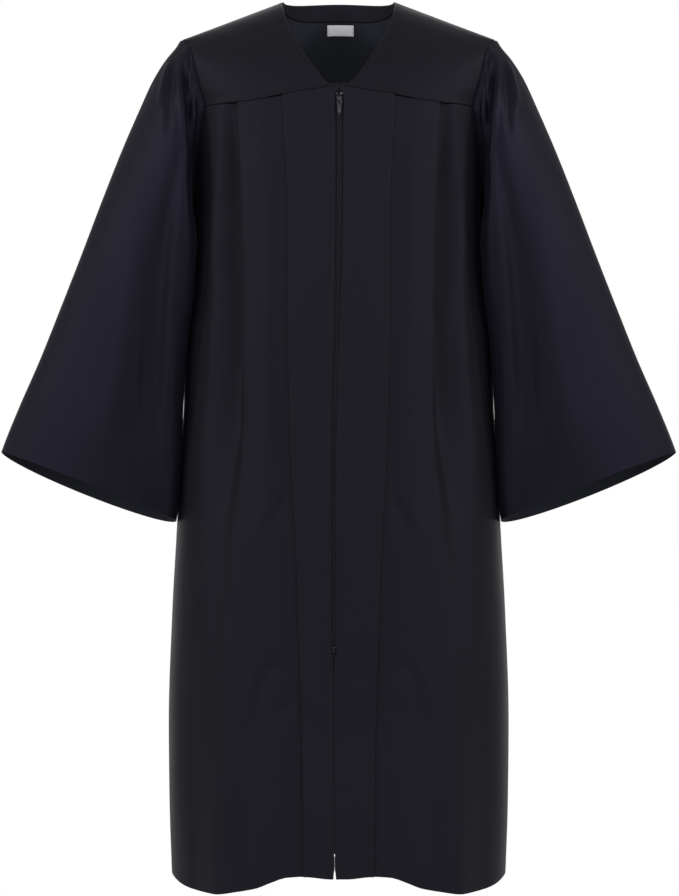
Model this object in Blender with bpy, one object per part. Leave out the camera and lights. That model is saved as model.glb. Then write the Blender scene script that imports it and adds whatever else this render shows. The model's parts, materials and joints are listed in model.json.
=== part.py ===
"""Graduation gown with open bell sleeves, a pleated zip front and a gathered back.

Every piece is a wall of cloth, cut and placed as the garment's own pieces are.
Sizes are in millimetres and become metres when a mesh is made. +Z is up, the front
faces -Y and +X is the wearer's left. A height is given as its drop below the origin,
which lies between the neck ends of the two shoulder seams, where the wearer's
shoulders carry the gown.
"""

import math
from bisect import bisect_right
from collections import namedtuple
from functools import lru_cache

import bmesh
import bpy
import numpy as np
from mathutils import Vector

MM = 0.001

# Cloth and seams
CLOTH = 1.2
SEAM = 0.3
SEAM_CHORD = 0.1

# Sides of the body and hands of the pieces
FRONT = -1
BACK = 1
LEFT = 1
RIGHT = -1

# Shoulder seam, from the neck to the sleeve, and the neck behind it
NECK_HALF = 72.0
SHOULDER_TIP_HALF = 200.3
SHOULDER_TIP_DROP = 48.7
BACK_NECK_DEPTH = 72.0
BACK_NECK_RISE = 7.0

# Heights that the pieces share
FRONT_CORNER_DROP = 139.0
BACK_CORNER_DROP = 152.0
UNDERARM_DROP = 262.0
HEM_DROP = 1112.0
HEM_SHAPED_FROM = 880.0

# The body's cross-section: 2 would be an ellipse, more is squarer
SQUARENESS = 2.3
SECTION_STEPS = 120

BodyRow = namedtuple("BodyRow", "drop half_width front back")
BODY = (
    BodyRow(100, 185.5, 103, 92),
    BodyRow(140, 185.5, 109, 101),
    BodyRow(262, 185.5, 121, 114),
    BodyRow(340, 186.5, 126, 119),
    BodyRow(378, 189.5, 128, 121),
    BodyRow(420, 194.5, 130, 123),
    BodyRow(470, 197.0, 132, 125),
    BodyRow(560, 199.5, 135, 128),
    BodyRow(660, 206.5, 139, 132),
    BodyRow(780, 213.0, 144, 137),
    BodyRow(920, 217.5, 150, 143),
    BodyRow(1020, 216.5, 154, 148),
    BodyRow(1125, 213.0, 157, 152),
)

# Where the armhole seam lies across the body
ArmholeRow = namedtuple("ArmholeRow", "drop half_width")
ARMHOLE = (
    ArmholeRow(SHOULDER_TIP_DROP, SHOULDER_TIP_HALF),
    ArmholeRow(56, 191.0),
    ArmholeRow(72, 185.6),
    ArmholeRow(94, 180.5),
    ArmholeRow(116, 174.5),
    ArmholeRow(139, 168.5),
    ArmholeRow(158, 172.0),
    ArmholeRow(182, 176.5),
    ArmholeRow(207, 180.0),
    ArmholeRow(235, 183.0),
    ArmholeRow(UNDERARM_DROP, 185.5),
)

# Height of the seam between yoke and front, and of the front's hem, across the body
AcrossRow = namedtuple("AcrossRow", "across drop")
YOKE_SEAM = (
    AcrossRow(-10, 118.4),
    AcrossRow(10, 118.4),
    AcrossRow(30, 122.0),
    AcrossRow(50, 124.5),
    AcrossRow(80, 130.2),
    AcrossRow(104, 134.5),
    AcrossRow(135, 137.0),
    AcrossRow(168.5, FRONT_CORNER_DROP),
)
FRONT_HEM = (
    AcrossRow(-10, 1103.0),
    AcrossRow(10, 1103.0),
    AcrossRow(40, 1100.5),
    AcrossRow(65, 1102.0),
    AcrossRow(83, 1108.0),
    AcrossRow(102, 1116.0),
    AcrossRow(125, 1121.0),
    AcrossRow(150, 1125.0),
    AcrossRow(174, 1124.5),
    AcrossRow(195, 1121.0),
    AcrossRow(214, 1112.0),
)

# Lines of the front: the opening's centre and width, the folded edges of the two
# pleats, how far the cloth beside each falls in, and how far the outer pleat has opened
FrontRow = namedtuple(
    "FrontRow", "drop opening gap band band_fall outer outer_fall outer_open belly"
)
FRONT_LINES = (
    FrontRow(125, 0.8, 9.6, 70.6, 4.2, 128.0, 4.6, 0.00, 0.0),
    FrontRow(165, 0.8, 9.6, 68.8, 4.6, 126.4, 7.0, 0.00, 0.0),
    FrontRow(225, 0.8, 9.2, 65.2, 5.2, 123.0, 10.0, 0.00, 0.0),
    FrontRow(290, 0.4, 8.6, 62.8, 5.6, 120.0, 12.0, 0.05, 0.0),
    FrontRow(390, -1.6, 7.4, 63.0, 6.0, 118.0, 13.0, 0.25, 0.0),
    FrontRow(460, -3.5, 6.4, 62.4, 6.0, 118.0, 13.0, 0.55, 0.0),
    FrontRow(530, -5.4, 5.6, 61.0, 6.0, 119.0, 11.0, 0.85, 0.0),
    FrontRow(610, -6.1, 5.2, 58.0, 5.6, 122.0, 7.0, 1.00, 1.0),
    FrontRow(690, -6.1, 5.2, 53.2, 5.2, 126.0, 4.0, 1.00, 3.0),
    FrontRow(828, -6.1, 5.2, 48.3, 5.0, 132.6, 2.5, 1.00, 6.3),
    FrontRow(850, -6.1, 0.8, 47.6, 5.0, 133.4, 2.5, 1.00, 6.8),
    FrontRow(910, -6.1, 0.8, 45.7, 4.8, 136.0, 2.5, 1.00, 8.0),
    FrontRow(1020, -5.5, 0.8, 44.2, 4.6, 138.0, 2.5, 1.00, 10.0),
    FrontRow(1125, -4.8, 1.6, 43.7, 4.6, 140.0, 2.5, 1.00, 11.0),
)
PLEAT_LAP = 20.0
LAYER_GAP = 0.6
PLEAT_SPREAD = 7.0
OPEN_SPREAD = 24.0
BELLY_AT = 148.0
BELLY_HALF = 46.0

FRONT_DROPS = (
    165, 195, 225, 246, 262, 318, 384, 450, 516, 590, 665, 745, 828, 850, 930, 1020, HEM_DROP,
)
FRONT_TOP_DROP = 130.0
BAND_DROPS = (YOKE_SEAM[0].drop + SEAM / 2 + SEAM_CHORD,) + FRONT_DROPS

# Back panel: narrow gathers at the yoke merge in pairs into broad folds at the hem
BACK_SEAM_SAG = 13.0
GATHERS = 14
GATHER_STEPS = 4
BackRow = namedtuple("BackRow", "drop reach narrow broad")
BACK_FOLDS = (
    BackRow(150, 156, 2.2, 0.0),
    BackRow(195, 161, 3.2, 0.6),
    BackRow(262, 169, 3.2, 2.5),
    BackRow(400, 185, 2.2, 6.0),
    BackRow(600, 206, 0.9, 10.0),
    BackRow(900, 228, 0.2, 14.0),
    BackRow(1125, 236, 0.0, 16.0),
)
BACK_DROPS = (195, 226, 247, 262, 330, 410, 500, 600, 710, 830, 970, HEM_DROP)
BACK_EDGE_COLUMNS = 3

# Rows of the yokes, as shares of the way from the shoulder to the seam below
FRONT_YOKE_COLUMNS = 13
YOKE_ROWS = (0.0, 0.08, 0.16, 0.32, 0.5, 0.67, 0.84, 1.0)

# V neck of the front yoke, from the shoulder seam down to the zip
NeckRow = namedtuple("NeckRow", "half_width depth drop")
V_NECK = (
    NeckRow(NECK_HALF, 0.0, 0.0),
    NeckRow(71.0, 15.0, 7.0),
    NeckRow(68.4, 35.0, 21.0),
    NeckRow(63.7, 51.0, 36.7),
    NeckRow(55.9, 66.0, 54.0),
    NeckRow(41.8, 82.0, 76.7),
    NeckRow(26.5, 95.0, 99.0),
    NeckRow(10.0, 105.5, 118.1),
)

# Sleeve rings: the upper outline, the inner fold beside the body, and the depth in
# front of and behind the line between them
SleeveRow = namedtuple(
    "SleeveRow", "outer_x outer_drop inner_x inner_drop inner_y front back"
)
SLEEVE = (
    SleeveRow(200.9, 49.0, 186.2, 261.0, 0, 54, 54),
    SleeveRow(209.0, 59.5, 187.2, 268.0, -8, 57, 57),
    SleeveRow(221.5, 74.5, 184.6, 277.0, -24, 58, 60),
    SleeveRow(237.5, 100.0, 180.6, 290.0, -42, 56, 66),
    SleeveRow(255.0, 138.0, 179.0, 312.0, -51, 52, 74),
    SleeveRow(278.0, 191.0, 180.6, 342.0, -55, 47, 83),
    SleeveRow(303.0, 254.0, 184.4, 380.0, -54, 45, 89),
    SleeveRow(330.0, 325.0, 190.2, 424.0, -51, 45, 91),
    SleeveRow(357.0, 394.0, 194.6, 472.0, -48, 46, 92),
    SleeveRow(383.0, 459.0, 197.0, 524.0, -46, 47, 92),
    SleeveRow(408.0, 516.0, 199.5, 588.0, -44, 48, 92),
    SleeveRow(425.0, 557.0, 202.4, 638.0, -42, 49, 91),
    SleeveRow(432.5, 577.0, 205.8, 663.0, -40, 50, 90),
)
SLEEVE_CLEAR = (0.9, 1.6, 2.4, 3.0)
HEM_BACK_SAG = 17.0
HEM_FRONT_LIFT = 5.0
SLEEVE_GATHERS = 4
SLEEVE_GATHER_DEPTH = 3.2
SLEEVE_GATHER_FROM = 14.0
SLEEVE_GATHER_TO = 104.0
SLEEVE_GATHER_SLANT = 12.0
SLEEVE_GATHER_FADE = (0.0, 1.0, 0.9, 0.6, 0.3, 0.1)
SLEEVE_FOLD_DEPTH = 6.0
SLEEVE_FOLD_WIDTH = 13.0
SLEEVE_TURNS = tuple(range(0, 108, 6)) + tuple(range(108, 181, 12))

# Zip: tapes with a bead each for the coil. Columns run outwards from the chain's
# centre, and lifts are measured from the face of the front
TapeColumn = namedtuple("TapeColumn", "out front back flat_front flat_back")
TAPE = (
    TapeColumn(0.15, -0.9, -2.5, -1.5, -2.5),
    TapeColumn(0.6, -0.5, -2.9, -1.5, -2.5),
    TapeColumn(1.7, -0.5, -2.9, -1.5, -2.5),
    TapeColumn(2.15, -0.9, -2.5, -1.5, -2.5),
    TapeColumn(2.45, -1.5, -2.5, -1.5, -2.5),
    TapeColumn(7.0, -1.6, -2.6, -1.6, -2.6),
    TapeColumn(13.0, -1.8, -2.8, -1.8, -2.8),
)
TAPE_TOP = 127.5
TAPE_END = 858.0
COIL_TOP = 134.5
COIL_END = 814.0
COIL_STEP = 1.5
ZIP_SPREAD = 2.05
ZIP_SPREAD_FROM = 141.0
ZIP_SPREAD_TO = 131.0

# Slider and pull tab, in a frame of their own that lies along the chain
SLIDER_DROP = 137.0
SLIDER_HALF_HEIGHT = 5.5
SLIDER_HALF_TOP = 4.0
SLIDER_HALF_FOOT = 2.9
SLIDER_FRONT = (1.0, -0.2)
SLIDER_BACK = (-3.2, -4.2)
SLIDER_POST = 2.4
BRIDGE_HALF = 1.1
BRIDGE_BAR = 1.0
BRIDGE_LEG = 1.0
BRIDGE_HOLE_HALF = 1.4
BRIDGE_HOLE_DEPTH = 1.8
PULL_BAR_HALF = 0.6
PULL_LENGTH = 20.5
PULL_HALF_TOP = 3.0
PULL_HALF_FOOT = 2.1
PULL_WINDOW_HALF = 1.7
PULL_WINDOW_END = 4.2

# Stops: half width, height and lifts of the front and back faces
Stop = namedtuple("Stop", "drop height half_width front back")
TOP_STOP = Stop(127.8, 3.2, 1.1, 0.2, -1.2)
TOP_STOP_OUT = 2.8
BOTTOM_STOP = Stop(817.5, 7.0, 2.0, 0.2, -1.2)

# Band inside the back neck, and the label below it
BAND_CLOTH = 1.0
BAND_GAP = 0.4
BAND_ROWS = slice(0, 3)
BAND_COLUMNS = slice(6, 19)
LABEL_HALF_WIDTH = 17.5
LABEL_HEIGHT = 15.0
LABEL_CENTRE = 2.3
LABEL_TOP_DROP = 19.5
LABEL_COLUMNS = 7
LABEL_ROWS = 4

CLOTH_COLOUR = (0.012, 0.012, 0.016, 1.0)
ZIP_COLOUR = (0.02, 0.02, 0.022, 1.0)
METAL_COLOUR = (0.05, 0.05, 0.055, 1.0)
LABEL_COLOUR = (0.84, 0.82, 0.9, 1.0)


def smooth_through(at, stops, values):
    """Read a value on a smooth curve through the rows that never overshoots them."""
    at = min(max(at, stops[0]), stops[-1])
    low = min(bisect_right(stops, at) - 1, len(stops) - 2)
    slopes = [
        (values[i + 1] - values[i]) / (stops[i + 1] - stops[i])
        for i in range(len(stops) - 1)
    ]

    def tangent(i):
        if i == 0 or i == len(stops) - 1:
            return slopes[min(i, len(slopes) - 1)]
        before, after = slopes[i - 1], slopes[i]
        if before * after <= 0:
            return 0.0
        return 2 * before * after / (before + after)

    span = stops[low + 1] - stops[low]
    share = (at - stops[low]) / span
    rest = 1 - share
    return (
        values[low] * (1 + 2 * share) * rest ** 2
        + values[low + 1] * (3 - 2 * share) * share ** 2
        + span * share * rest * (tangent(low) * rest - tangent(low + 1) * share)
    )


def read(table, column, at, key="drop"):
    """Read a named column of a table at a height, or at another key."""
    stops = [getattr(row, key) for row in table]
    return smooth_through(at, stops, [getattr(row, column) for row in table])


def ease(share):
    """Go from 0 to 1 with a flat start and end."""
    share = min(max(share, 0.0), 1.0)
    return share * share * (3 - 2 * share)


def mix(low, high, share):
    """Blend two numbers or two arrays."""
    return low + (high - low) * share


Quarter = namedtuple("Quarter", "lengths xs ys")


@lru_cache(maxsize=None)
def quarter(drop, side):
    """One quarter of the body's cross-section, from its centre line to the side seam."""
    half = read(BODY, "half_width", drop)
    depth = read(BODY, "front" if side == FRONT else "back", drop)
    turns = np.linspace(0.0, math.pi / 2, SECTION_STEPS)
    xs = half * np.sin(turns) ** (2 / SQUARENESS)
    ys = side * depth * np.clip(np.cos(turns), 0.0, 1.0) ** (2 / SQUARENESS)
    steps = np.hypot(np.diff(xs), np.diff(ys))
    return Quarter(np.concatenate([[0.0], np.cumsum(steps)]), xs, ys)


def length_at(drop, side, across):
    """Distance along the cloth from the centre line to a place across the body."""
    shape = quarter(drop, side)
    return math.copysign(np.interp(abs(across), shape.xs, shape.lengths), across)


def on_body(drop, side, length, lift=0.0):
    """Point of the body at a distance along the cloth, moved out by a lift."""
    shape = quarter(drop, side)
    total = shape.lengths[-1]
    near = min(max(abs(length), 1.0), total - 1.0)
    reach = min(abs(length), total)
    dx = np.interp(near + 1, shape.lengths, shape.xs) - np.interp(near - 1, shape.lengths, shape.xs)
    dy = np.interp(near + 1, shape.lengths, shape.ys) - np.interp(near - 1, shape.lengths, shape.ys)
    norm = math.hypot(dx, dy)
    out_x, out_y = abs(dy) / norm, side * abs(dx) / norm
    sign = -1.0 if length < 0 else 1.0
    x = sign * (np.interp(reach, shape.lengths, shape.xs) + lift * out_x)
    y = np.interp(reach, shape.lengths, shape.ys) + lift * out_y
    return np.array([x, y, -drop])


def armhole_half(drop):
    """Half width of the body at the armhole seam."""
    return read(ARMHOLE, "half_width", drop)


def edge_length(drop, side):
    """Distance along the cloth from the centre line to the armhole or the side seam."""
    if drop >= UNDERARM_DROP:
        return float(quarter(drop, side).lengths[-1])
    return length_at(drop, side, armhole_half(drop))


def corner_drop(side):
    """Height at which the yoke's seam meets the armhole, in front or behind."""
    return FRONT_CORNER_DROP if side == FRONT else BACK_CORNER_DROP


def yoke_armhole_point(share, side):
    """Point of the left armhole seam along the yoke, from the tip to the corner."""
    low = corner_drop(side)
    corner_y = on_body(low, side, edge_length(low, side))[1]
    turn = math.pi / 2 * share
    drop = mix(SHOULDER_TIP_DROP, low, 1 - math.cos(turn))
    return np.array([armhole_half(drop), corner_y * math.sin(turn), -drop])


@lru_cache(maxsize=None)
def armhole_branch(side):
    """One half of the left armhole seam, with the distance of its points from the tip.

    Its points are the ends of the rows of the yoke and of the panel below it, so
    that the sleeve's head follows the same straight steps as they do.
    """
    rows = FRONT_DROPS if side == FRONT else BACK_DROPS
    points = [yoke_armhole_point(share, side) for share in YOKE_ROWS]
    points += [on_body(drop, side, edge_length(drop, side)) for drop in rows if drop <= UNDERARM_DROP]
    points = np.array(points)
    steps = np.linalg.norm(np.diff(points, axis=0), axis=1)
    return points, np.concatenate([[0.0], np.cumsum(steps)])


@lru_cache(maxsize=None)
def head_places(side):
    """Distances of the sleeve's columns along the armhole, with one at each of its bends."""
    lengths = armhole_branch(side)[1]
    places = [turn / 180 * lengths[-1] for turn in SLEEVE_TURNS]
    for bend in lengths:
        nearest = min(range(len(places)), key=lambda n: abs(places[n] - bend))
        places[nearest] = bend
    return places


def armhole_point(turn):
    """Point of the left armhole seam: 0 is the tip, 90 the front, 180 the underarm."""
    side = FRONT if turn <= 180 else BACK
    points, lengths = armhole_branch(side)
    at = head_places(side)[SLEEVE_TURNS.index(min(turn, 360 - turn))]
    return np.array([np.interp(at, lengths, points[:, k]) for k in range(3)])


def body_half(drop, depth):
    """Half width of the body at a height and a depth, or 0 in front of or behind it."""
    shape = quarter(max(drop, BODY[0].drop), FRONT if depth < 0 else BACK)
    if abs(depth) >= abs(shape.ys[0]):
        return 0.0
    return float(np.interp(-abs(depth), -np.abs(shape.ys), shape.xs))


def pleat(edge, fall, opened, spread):
    """Path of the cloth over one knife pleat, as places along it and their lifts.

    Pressed, the cloth turns back under itself at the folded edge and out again at
    the end of the lap. Opened, the same points lie on one soft wave.
    """
    fold = CLOTH + LAYER_GAP / 2
    tuck = LAYER_GAP / 2
    start = edge - fold
    pressed = [
        (start, 0.0),
        (start + fold * math.sin(math.radians(60)), -fold * 0.5),
        (start + fold * math.sin(math.radians(60)), -fold * 1.5),
        (start, -fold * 2),
        (edge - PLEAT_LAP, -fall + tuck * 2),
        (edge - PLEAT_LAP - tuck, -fall + tuck),
        (edge - PLEAT_LAP, -fall),
        (edge + spread, -fall),
    ]
    count = len(pressed) - 1
    wave = [
        (start + OPEN_SPREAD * i / count, -fall * ease(i / count))
        for i in range(count + 1)
    ]
    return [(mix(p[0], w[0], opened), mix(p[1], w[1], opened)) for p, w in zip(pressed, wave)]


def front_path(drop, hand):
    """Places and lifts along one front at one height, from the opening outwards."""
    line = {name: read(FRONT_LINES, name, drop) for name in FrontRow._fields}
    start = length_at(drop, FRONT, hand * line["opening"] + line["gap"] / 2)
    band = length_at(drop, FRONT, line["band"])
    outer = length_at(drop, FRONT, line["outer"])
    end = edge_length(max(drop, FRONT_CORNER_DROP), FRONT)
    inner_pleat = pleat(band, line["band_fall"], 0.0, PLEAT_SPREAD)
    outer_pleat = pleat(outer, line["outer_fall"], line["outer_open"], PLEAT_SPREAD)

    path = [(mix(start, inner_pleat[0][0], share), 0.0) for share in (0.0, 0.33, 0.67)]
    path += inner_pleat
    low, high = inner_pleat[-1], outer_pleat[0]
    path += [(mix(low[0], high[0], share), low[1] * (1 - ease(share))) for share in (0.35, 0.7)]
    path += outer_pleat
    low = outer_pleat[-1]
    path += [
        (mix(low[0], end, share), low[1] * (1 - ease(share * 1.5)))
        for share in (0.12, 0.28, 0.46, 0.64, 0.82, 1.0)
    ]
    belly_at = length_at(drop, FRONT, min(BELLY_AT, read(BODY, "half_width", drop)))

    def belly(place):
        away = min(abs(place - belly_at) / BELLY_HALF, 1.0)
        return line["belly"] * (1 - ease(away))

    return [(place, lift + belly(place)) for place, lift in path]


def front_grid(hand):
    """Outer points of the left front, rows downwards and columns from the opening."""
    rows = []
    top = []
    for place, lift in front_path(FRONT_TOP_DROP, hand):
        across = on_body(FRONT_TOP_DROP, FRONT, place)[0]
        drop = read(YOKE_SEAM, "drop", across, "across") + SEAM / 2 + SEAM_CHORD
        top.append(on_body(drop, FRONT, place, lift))
    rows.append(top)
    for nominal in FRONT_DROPS:
        row = []
        for place, lift in front_path(nominal, hand):
            across = on_body(nominal, FRONT, place)[0]
            shaped = ease((nominal - HEM_SHAPED_FROM) / (HEM_DROP - HEM_SHAPED_FROM))
            hem = read(FRONT_HEM, "drop", across, "across")
            row.append(on_body(nominal + shaped * (hem - HEM_DROP), FRONT, place, lift))
        rows.append(row)
    return np.array(rows)


def back_lift(drop, share):
    """Depth of the back's gathers at a share of their reach, uneven as real ones are."""
    if abs(share) >= 1:
        return 0.0
    narrow = read(BACK_FOLDS, "narrow", drop)
    broad = read(BACK_FOLDS, "broad", drop)
    turn = math.pi * GATHERS * share
    uneven = 1 + 0.25 * math.sin(2.3 * share * math.pi + 0.7) + 0.15 * math.sin(5.1 * share * math.pi)
    fine = narrow * (math.cos(turn) - 1)
    drift = 0.5 * math.sin(3 * share + 0.8) * ease((drop - 260) / 600)
    wide = broad * (math.cos(turn / 2 + drift) - math.cos(drift)) / 2
    return (fine + wide) * uneven * (1 - ease((abs(share) - 0.86) / 0.14))


def back_seam_drop(across):
    """Height of the back yoke's lower seam, a little lower at the centre."""
    edge = armhole_half(BACK_CORNER_DROP)
    return BACK_CORNER_DROP + BACK_SEAM_SAG * (1 - min(abs(across) / edge, 1) ** 2)


def back_places(drop):
    """Shares of the gathers' reach and places along the cloth, left to right."""
    reach = read(BACK_FOLDS, "reach", drop)
    end = edge_length(max(drop, BACK_CORNER_DROP), BACK)
    count = GATHERS * GATHER_STEPS // 2
    middle = [(i / count, reach * i / count) for i in range(-count, count + 1)]
    steps = [(i + 1) / BACK_EDGE_COLUMNS for i in range(BACK_EDGE_COLUMNS)]
    side = [(1 + step, mix(reach, end, step)) for step in steps]
    return side[::-1] + middle[::-1] + [(-share, -place) for share, place in side]


def back_grid():
    """Outer points of the back panel, rows downwards and columns from left to right."""
    top = []
    for share, place in back_places(BACK_CORNER_DROP):
        across = on_body(BACK_CORNER_DROP, BACK, place)[0]
        drop = back_seam_drop(across) + SEAM / 2 + SEAM_CHORD
        top.append(on_body(drop, BACK, place, back_lift(BACK_CORNER_DROP, share)))
    rows = [top]
    for drop in BACK_DROPS:
        places = back_places(drop)
        rows.append([on_body(drop, BACK, place, back_lift(drop, share)) for share, place in places])
    return np.array(rows)


def v_neck_point(share):
    """Point of the left edge of the V neck, from shoulder seam to yoke seam."""
    shares = [i / (len(V_NECK) - 1) for i in range(len(V_NECK))]
    x = smooth_through(share, shares, [row.half_width for row in V_NECK])
    y = smooth_through(share, shares, [-row.depth for row in V_NECK])
    z = smooth_through(share, shares, [-row.drop for row in V_NECK])
    return np.array([x, y, z])


def shoulder_point(share):
    """Point of the left shoulder seam, from the neck to the sleeve."""
    x = mix(NECK_HALF, SHOULDER_TIP_HALF, share)
    return np.array([x, 0.0, -SHOULDER_TIP_DROP * share])


def front_yoke_grid():
    """Outer points of the left front yoke, blended between its four sewn edges."""

    def seam_point(share):
        across = mix(V_NECK[-1].half_width, armhole_half(FRONT_CORNER_DROP), share)
        drop = read(YOKE_SEAM, "drop", across, "across") - SEAM / 2 - SEAM_CHORD
        return on_body(drop, FRONT, length_at(drop, FRONT, across))

    corners = {
        (0, 0): shoulder_point(0.0), (1, 0): shoulder_point(1.0),
        (0, 1): seam_point(0.0), (1, 1): seam_point(1.0),
    }
    grid = []
    for v in YOKE_ROWS:
        row = []
        for i in range(FRONT_YOKE_COLUMNS):
            u = i / (FRONT_YOKE_COLUMNS - 1)
            ruled = mix(shoulder_point(u), seam_point(u), v)
            sides = mix(v_neck_point(v), yoke_armhole_point(v, FRONT), u)
            flat = mix(mix(corners[0, 0], corners[1, 0], u), mix(corners[0, 1], corners[1, 1], u), v)
            row.append(ruled + sides - flat)
        grid.append(row)
    grid = np.array(grid)
    grid[:, :, 1] = np.minimum(grid[:, :, 1], -SEAM / 2)
    grid[-1, -1, 2] = seam_point(1.0)[2]
    return grid


def back_top_point(share):
    """Point of the back yoke's top edge: shoulder, back neck, shoulder."""
    neck_end = 0.42
    if abs(share) >= neck_end:
        point = shoulder_point((abs(share) - neck_end) / (1 - neck_end))
        return point * np.array([math.copysign(1, share), 1, 1])
    turn = math.pi / 2 * share / neck_end
    return np.array([
        NECK_HALF * math.sin(turn),
        BACK_NECK_DEPTH * math.cos(turn),
        BACK_NECK_RISE * math.cos(turn) ** 3,
    ])


YOKE_EDGE_SHARE = 0.6
BACK_YOKE_SHARES = (
    1, 0.9, 0.8, 0.7, 0.6, 0.5, 0.42, 0.38, 0.32, 0.24, 0.16, 0.08, 0,
    -0.08, -0.16, -0.24, -0.32, -0.38, -0.42, -0.5, -0.6, -0.7, -0.8, -0.9, -1,
)


def back_yoke_form(share, v):
    """Point of the back yoke before its ends are drawn to the armholes."""
    top = back_top_point(share)
    across = share * armhole_half(BACK_CORNER_DROP)
    drop = back_seam_drop(across) - SEAM / 2 - SEAM_CHORD
    foot = on_body(drop, BACK, length_at(drop, BACK, across))
    turn = math.pi / 2 * v
    shares = np.array([math.sin(turn), math.sin(turn), 1 - math.cos(turn)])
    roundness = mix(0.25, 1.0, ease((abs(share) - 0.1) / 0.5))
    return mix(mix(top, foot, v), mix(top, foot, shares), roundness)


def back_yoke_point(share, v):
    """Outer point of the back yoke, from its top edge (v = 0) to the back seam."""
    sign = math.copysign(1, share)
    weight = ease((abs(share) - YOKE_EDGE_SHARE) / (1 - YOKE_EDGE_SHARE))
    draw = yoke_armhole_point(v, BACK) * np.array([sign, 1, 1]) - back_yoke_form(sign, v)
    if v == 1:
        draw[2] = 0.0
    return back_yoke_form(share, v) + weight * draw


def back_yoke_grid():
    """Outer points of the back yoke, rows downwards and columns from left to right."""
    grid = np.array([[back_yoke_point(share, v) for share in BACK_YOKE_SHARES] for v in YOKE_ROWS])
    grid[:, :, 1] = np.maximum(grid[:, :, 1], SEAM / 2)
    return grid


def sleeve_turns():
    """Angles of the sleeve's columns all round, close together at the gathers."""
    return (0,) + tuple(360 - turn for turn in SLEEVE_TURNS[1:]) + SLEEVE_TURNS[-2:0:-1]


def sleeve_gather(station, turn):
    """Height of the small gathers that hang from the sleeve's head."""
    if station >= len(SLEEVE_GATHER_FADE):
        return 0.0
    turn = min(turn, 360 - turn) - SLEEVE_GATHER_SLANT * station
    share = (turn - SLEEVE_GATHER_FROM) / (SLEEVE_GATHER_TO - SLEEVE_GATHER_FROM)
    if not 0 <= share <= 1:
        return 0.0
    wave = (1 - math.cos(2 * math.pi * SLEEVE_GATHERS * share)) / 2
    return SLEEVE_GATHER_DEPTH * SLEEVE_GATHER_FADE[station] * wave


def sleeve_grid():
    """Outer points of the left sleeve, rings from armhole to hem."""
    last = len(SLEEVE) - 1
    turns = sleeve_turns()
    rings = []
    for station, row in enumerate(SLEEVE):
        along = station / last
        hold = max(0.0, 1 - station / 5) ** 1.5
        ring = []
        for turn in turns:
            angle = math.radians(turn)
            across = (1 - math.cos(angle)) / 2
            depth = -row.front if turn <= 180 else row.back
            swing = abs(math.sin(angle))
            x = mix(row.outer_x, row.inner_x, across)
            y = row.inner_y * across + depth * swing
            drop = mix(row.outer_drop, row.inner_drop, across)
            drop += along ** 2 * swing * (HEM_BACK_SAG if turn > 180 else -HEM_FRONT_LIFT)
            point = np.array([x, y, -drop])
            head = armhole_point(turn) + np.array([SLEEVE_CLEAR[0], 0, 0])
            head_oval = sleeve_oval(SLEEVE[0], turn)
            point += hold * (head - head_oval)
            if turn < 180 and station > 2:
                valley = mix(100, 138, (station - 3) / (last - 3))
                away = (turn - valley) / SLEEVE_FOLD_WIDTH
                point[1] += SLEEVE_FOLD_DEPTH * min(1, (station - 2) / 3) * math.exp(-away ** 2)
            ring.append(point)
        rings.append(ring)
    grid = np.array(rings)
    normals = grid_normals(grid, True)
    for station in range(len(SLEEVE)):
        for column, turn in enumerate(turns):
            point = grid[station, column]
            point += normals[station, column] * sleeve_gather(station, turn)
            clear = SLEEVE_CLEAR[min(station, len(SLEEVE_CLEAR) - 1)]
            point[0] = max(point[0], body_half(-point[2], point[1]) + clear)
    return grid


def sleeve_oval(row, turn):
    """Point of a plain oval ring of the sleeve."""
    angle = math.radians(turn)
    across = (1 - math.cos(angle)) / 2
    depth = -row.front if turn <= 180 else row.back
    return np.array([
        mix(row.outer_x, row.inner_x, across),
        row.inner_y * across + depth * abs(math.sin(angle)),
        -mix(row.outer_drop, row.inner_drop, across),
    ])


def grid_normals(grid, closed):
    """Unit normals of a grid of points, pointing to the cloth's right side."""
    rows, columns = grid.shape[:2]
    total = np.zeros_like(grid)
    last = columns if closed else columns - 1
    for i in range(rows - 1):
        for j in range(last):
            k = (j + 1) % columns
            a, b, c, d = grid[i, j], grid[i, k], grid[i + 1, k], grid[i + 1, j]
            normal = np.cross(c - a, b - d)
            normal /= max(np.linalg.norm(normal), 1e-9)
            for r, s in ((i, j), (i, k), (i + 1, k), (i + 1, j)):
                total[r, s] += normal
    norms = np.linalg.norm(total, axis=2, keepdims=True)
    return total / np.maximum(norms, 1e-9)


def inner_grid(grid, thickness, closed=False, masks=None):
    """Points of the cloth's wrong side, one thickness behind its right side.

    masks keeps an edge's wall square to its seam: it maps "top", "bottom", "start"
    or "end" to the axes along which that edge's normals may point.
    """
    normals = grid_normals(grid, closed)
    edges = {
        "top": (0, slice(None)), "bottom": (-1, slice(None)),
        "start": (slice(None), 0), "end": (slice(None), -1),
    }
    for name, mask in (masks or {}).items():
        normals[edges[name]] *= np.array(mask, dtype=float)
    normals /= np.maximum(np.linalg.norm(normals, axis=2, keepdims=True), 1e-9)
    spread = thickness / miter(grid, normals, closed)
    return grid - normals * spread[:, :, None]


def miter(grid, normals, closed):
    """Cosine between a point's normal and its neighbouring steps' own normals."""
    rows, columns = grid.shape[:2]
    ahead = np.roll(grid, -1, axis=1) - grid
    behind = grid - np.roll(grid, 1, axis=1)
    if not closed:
        ahead[:, -1] = behind[:, -1]
        behind[:, 0] = ahead[:, 0]
    cosines = np.ones((rows, columns))
    for i in range(rows):
        for j in range(columns):
            lean = []
            for step in (ahead[i, j], behind[i, j]):
                size = np.linalg.norm(step)
                if size > 1e-6:
                    along = float(np.dot(step / size, normals[i, j]))
                    lean.append(math.sqrt(max(0.0, 1 - along * along)))
            cosines[i, j] = max(min(lean), 0.72) if lean else 1.0
    return cosines


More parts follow.
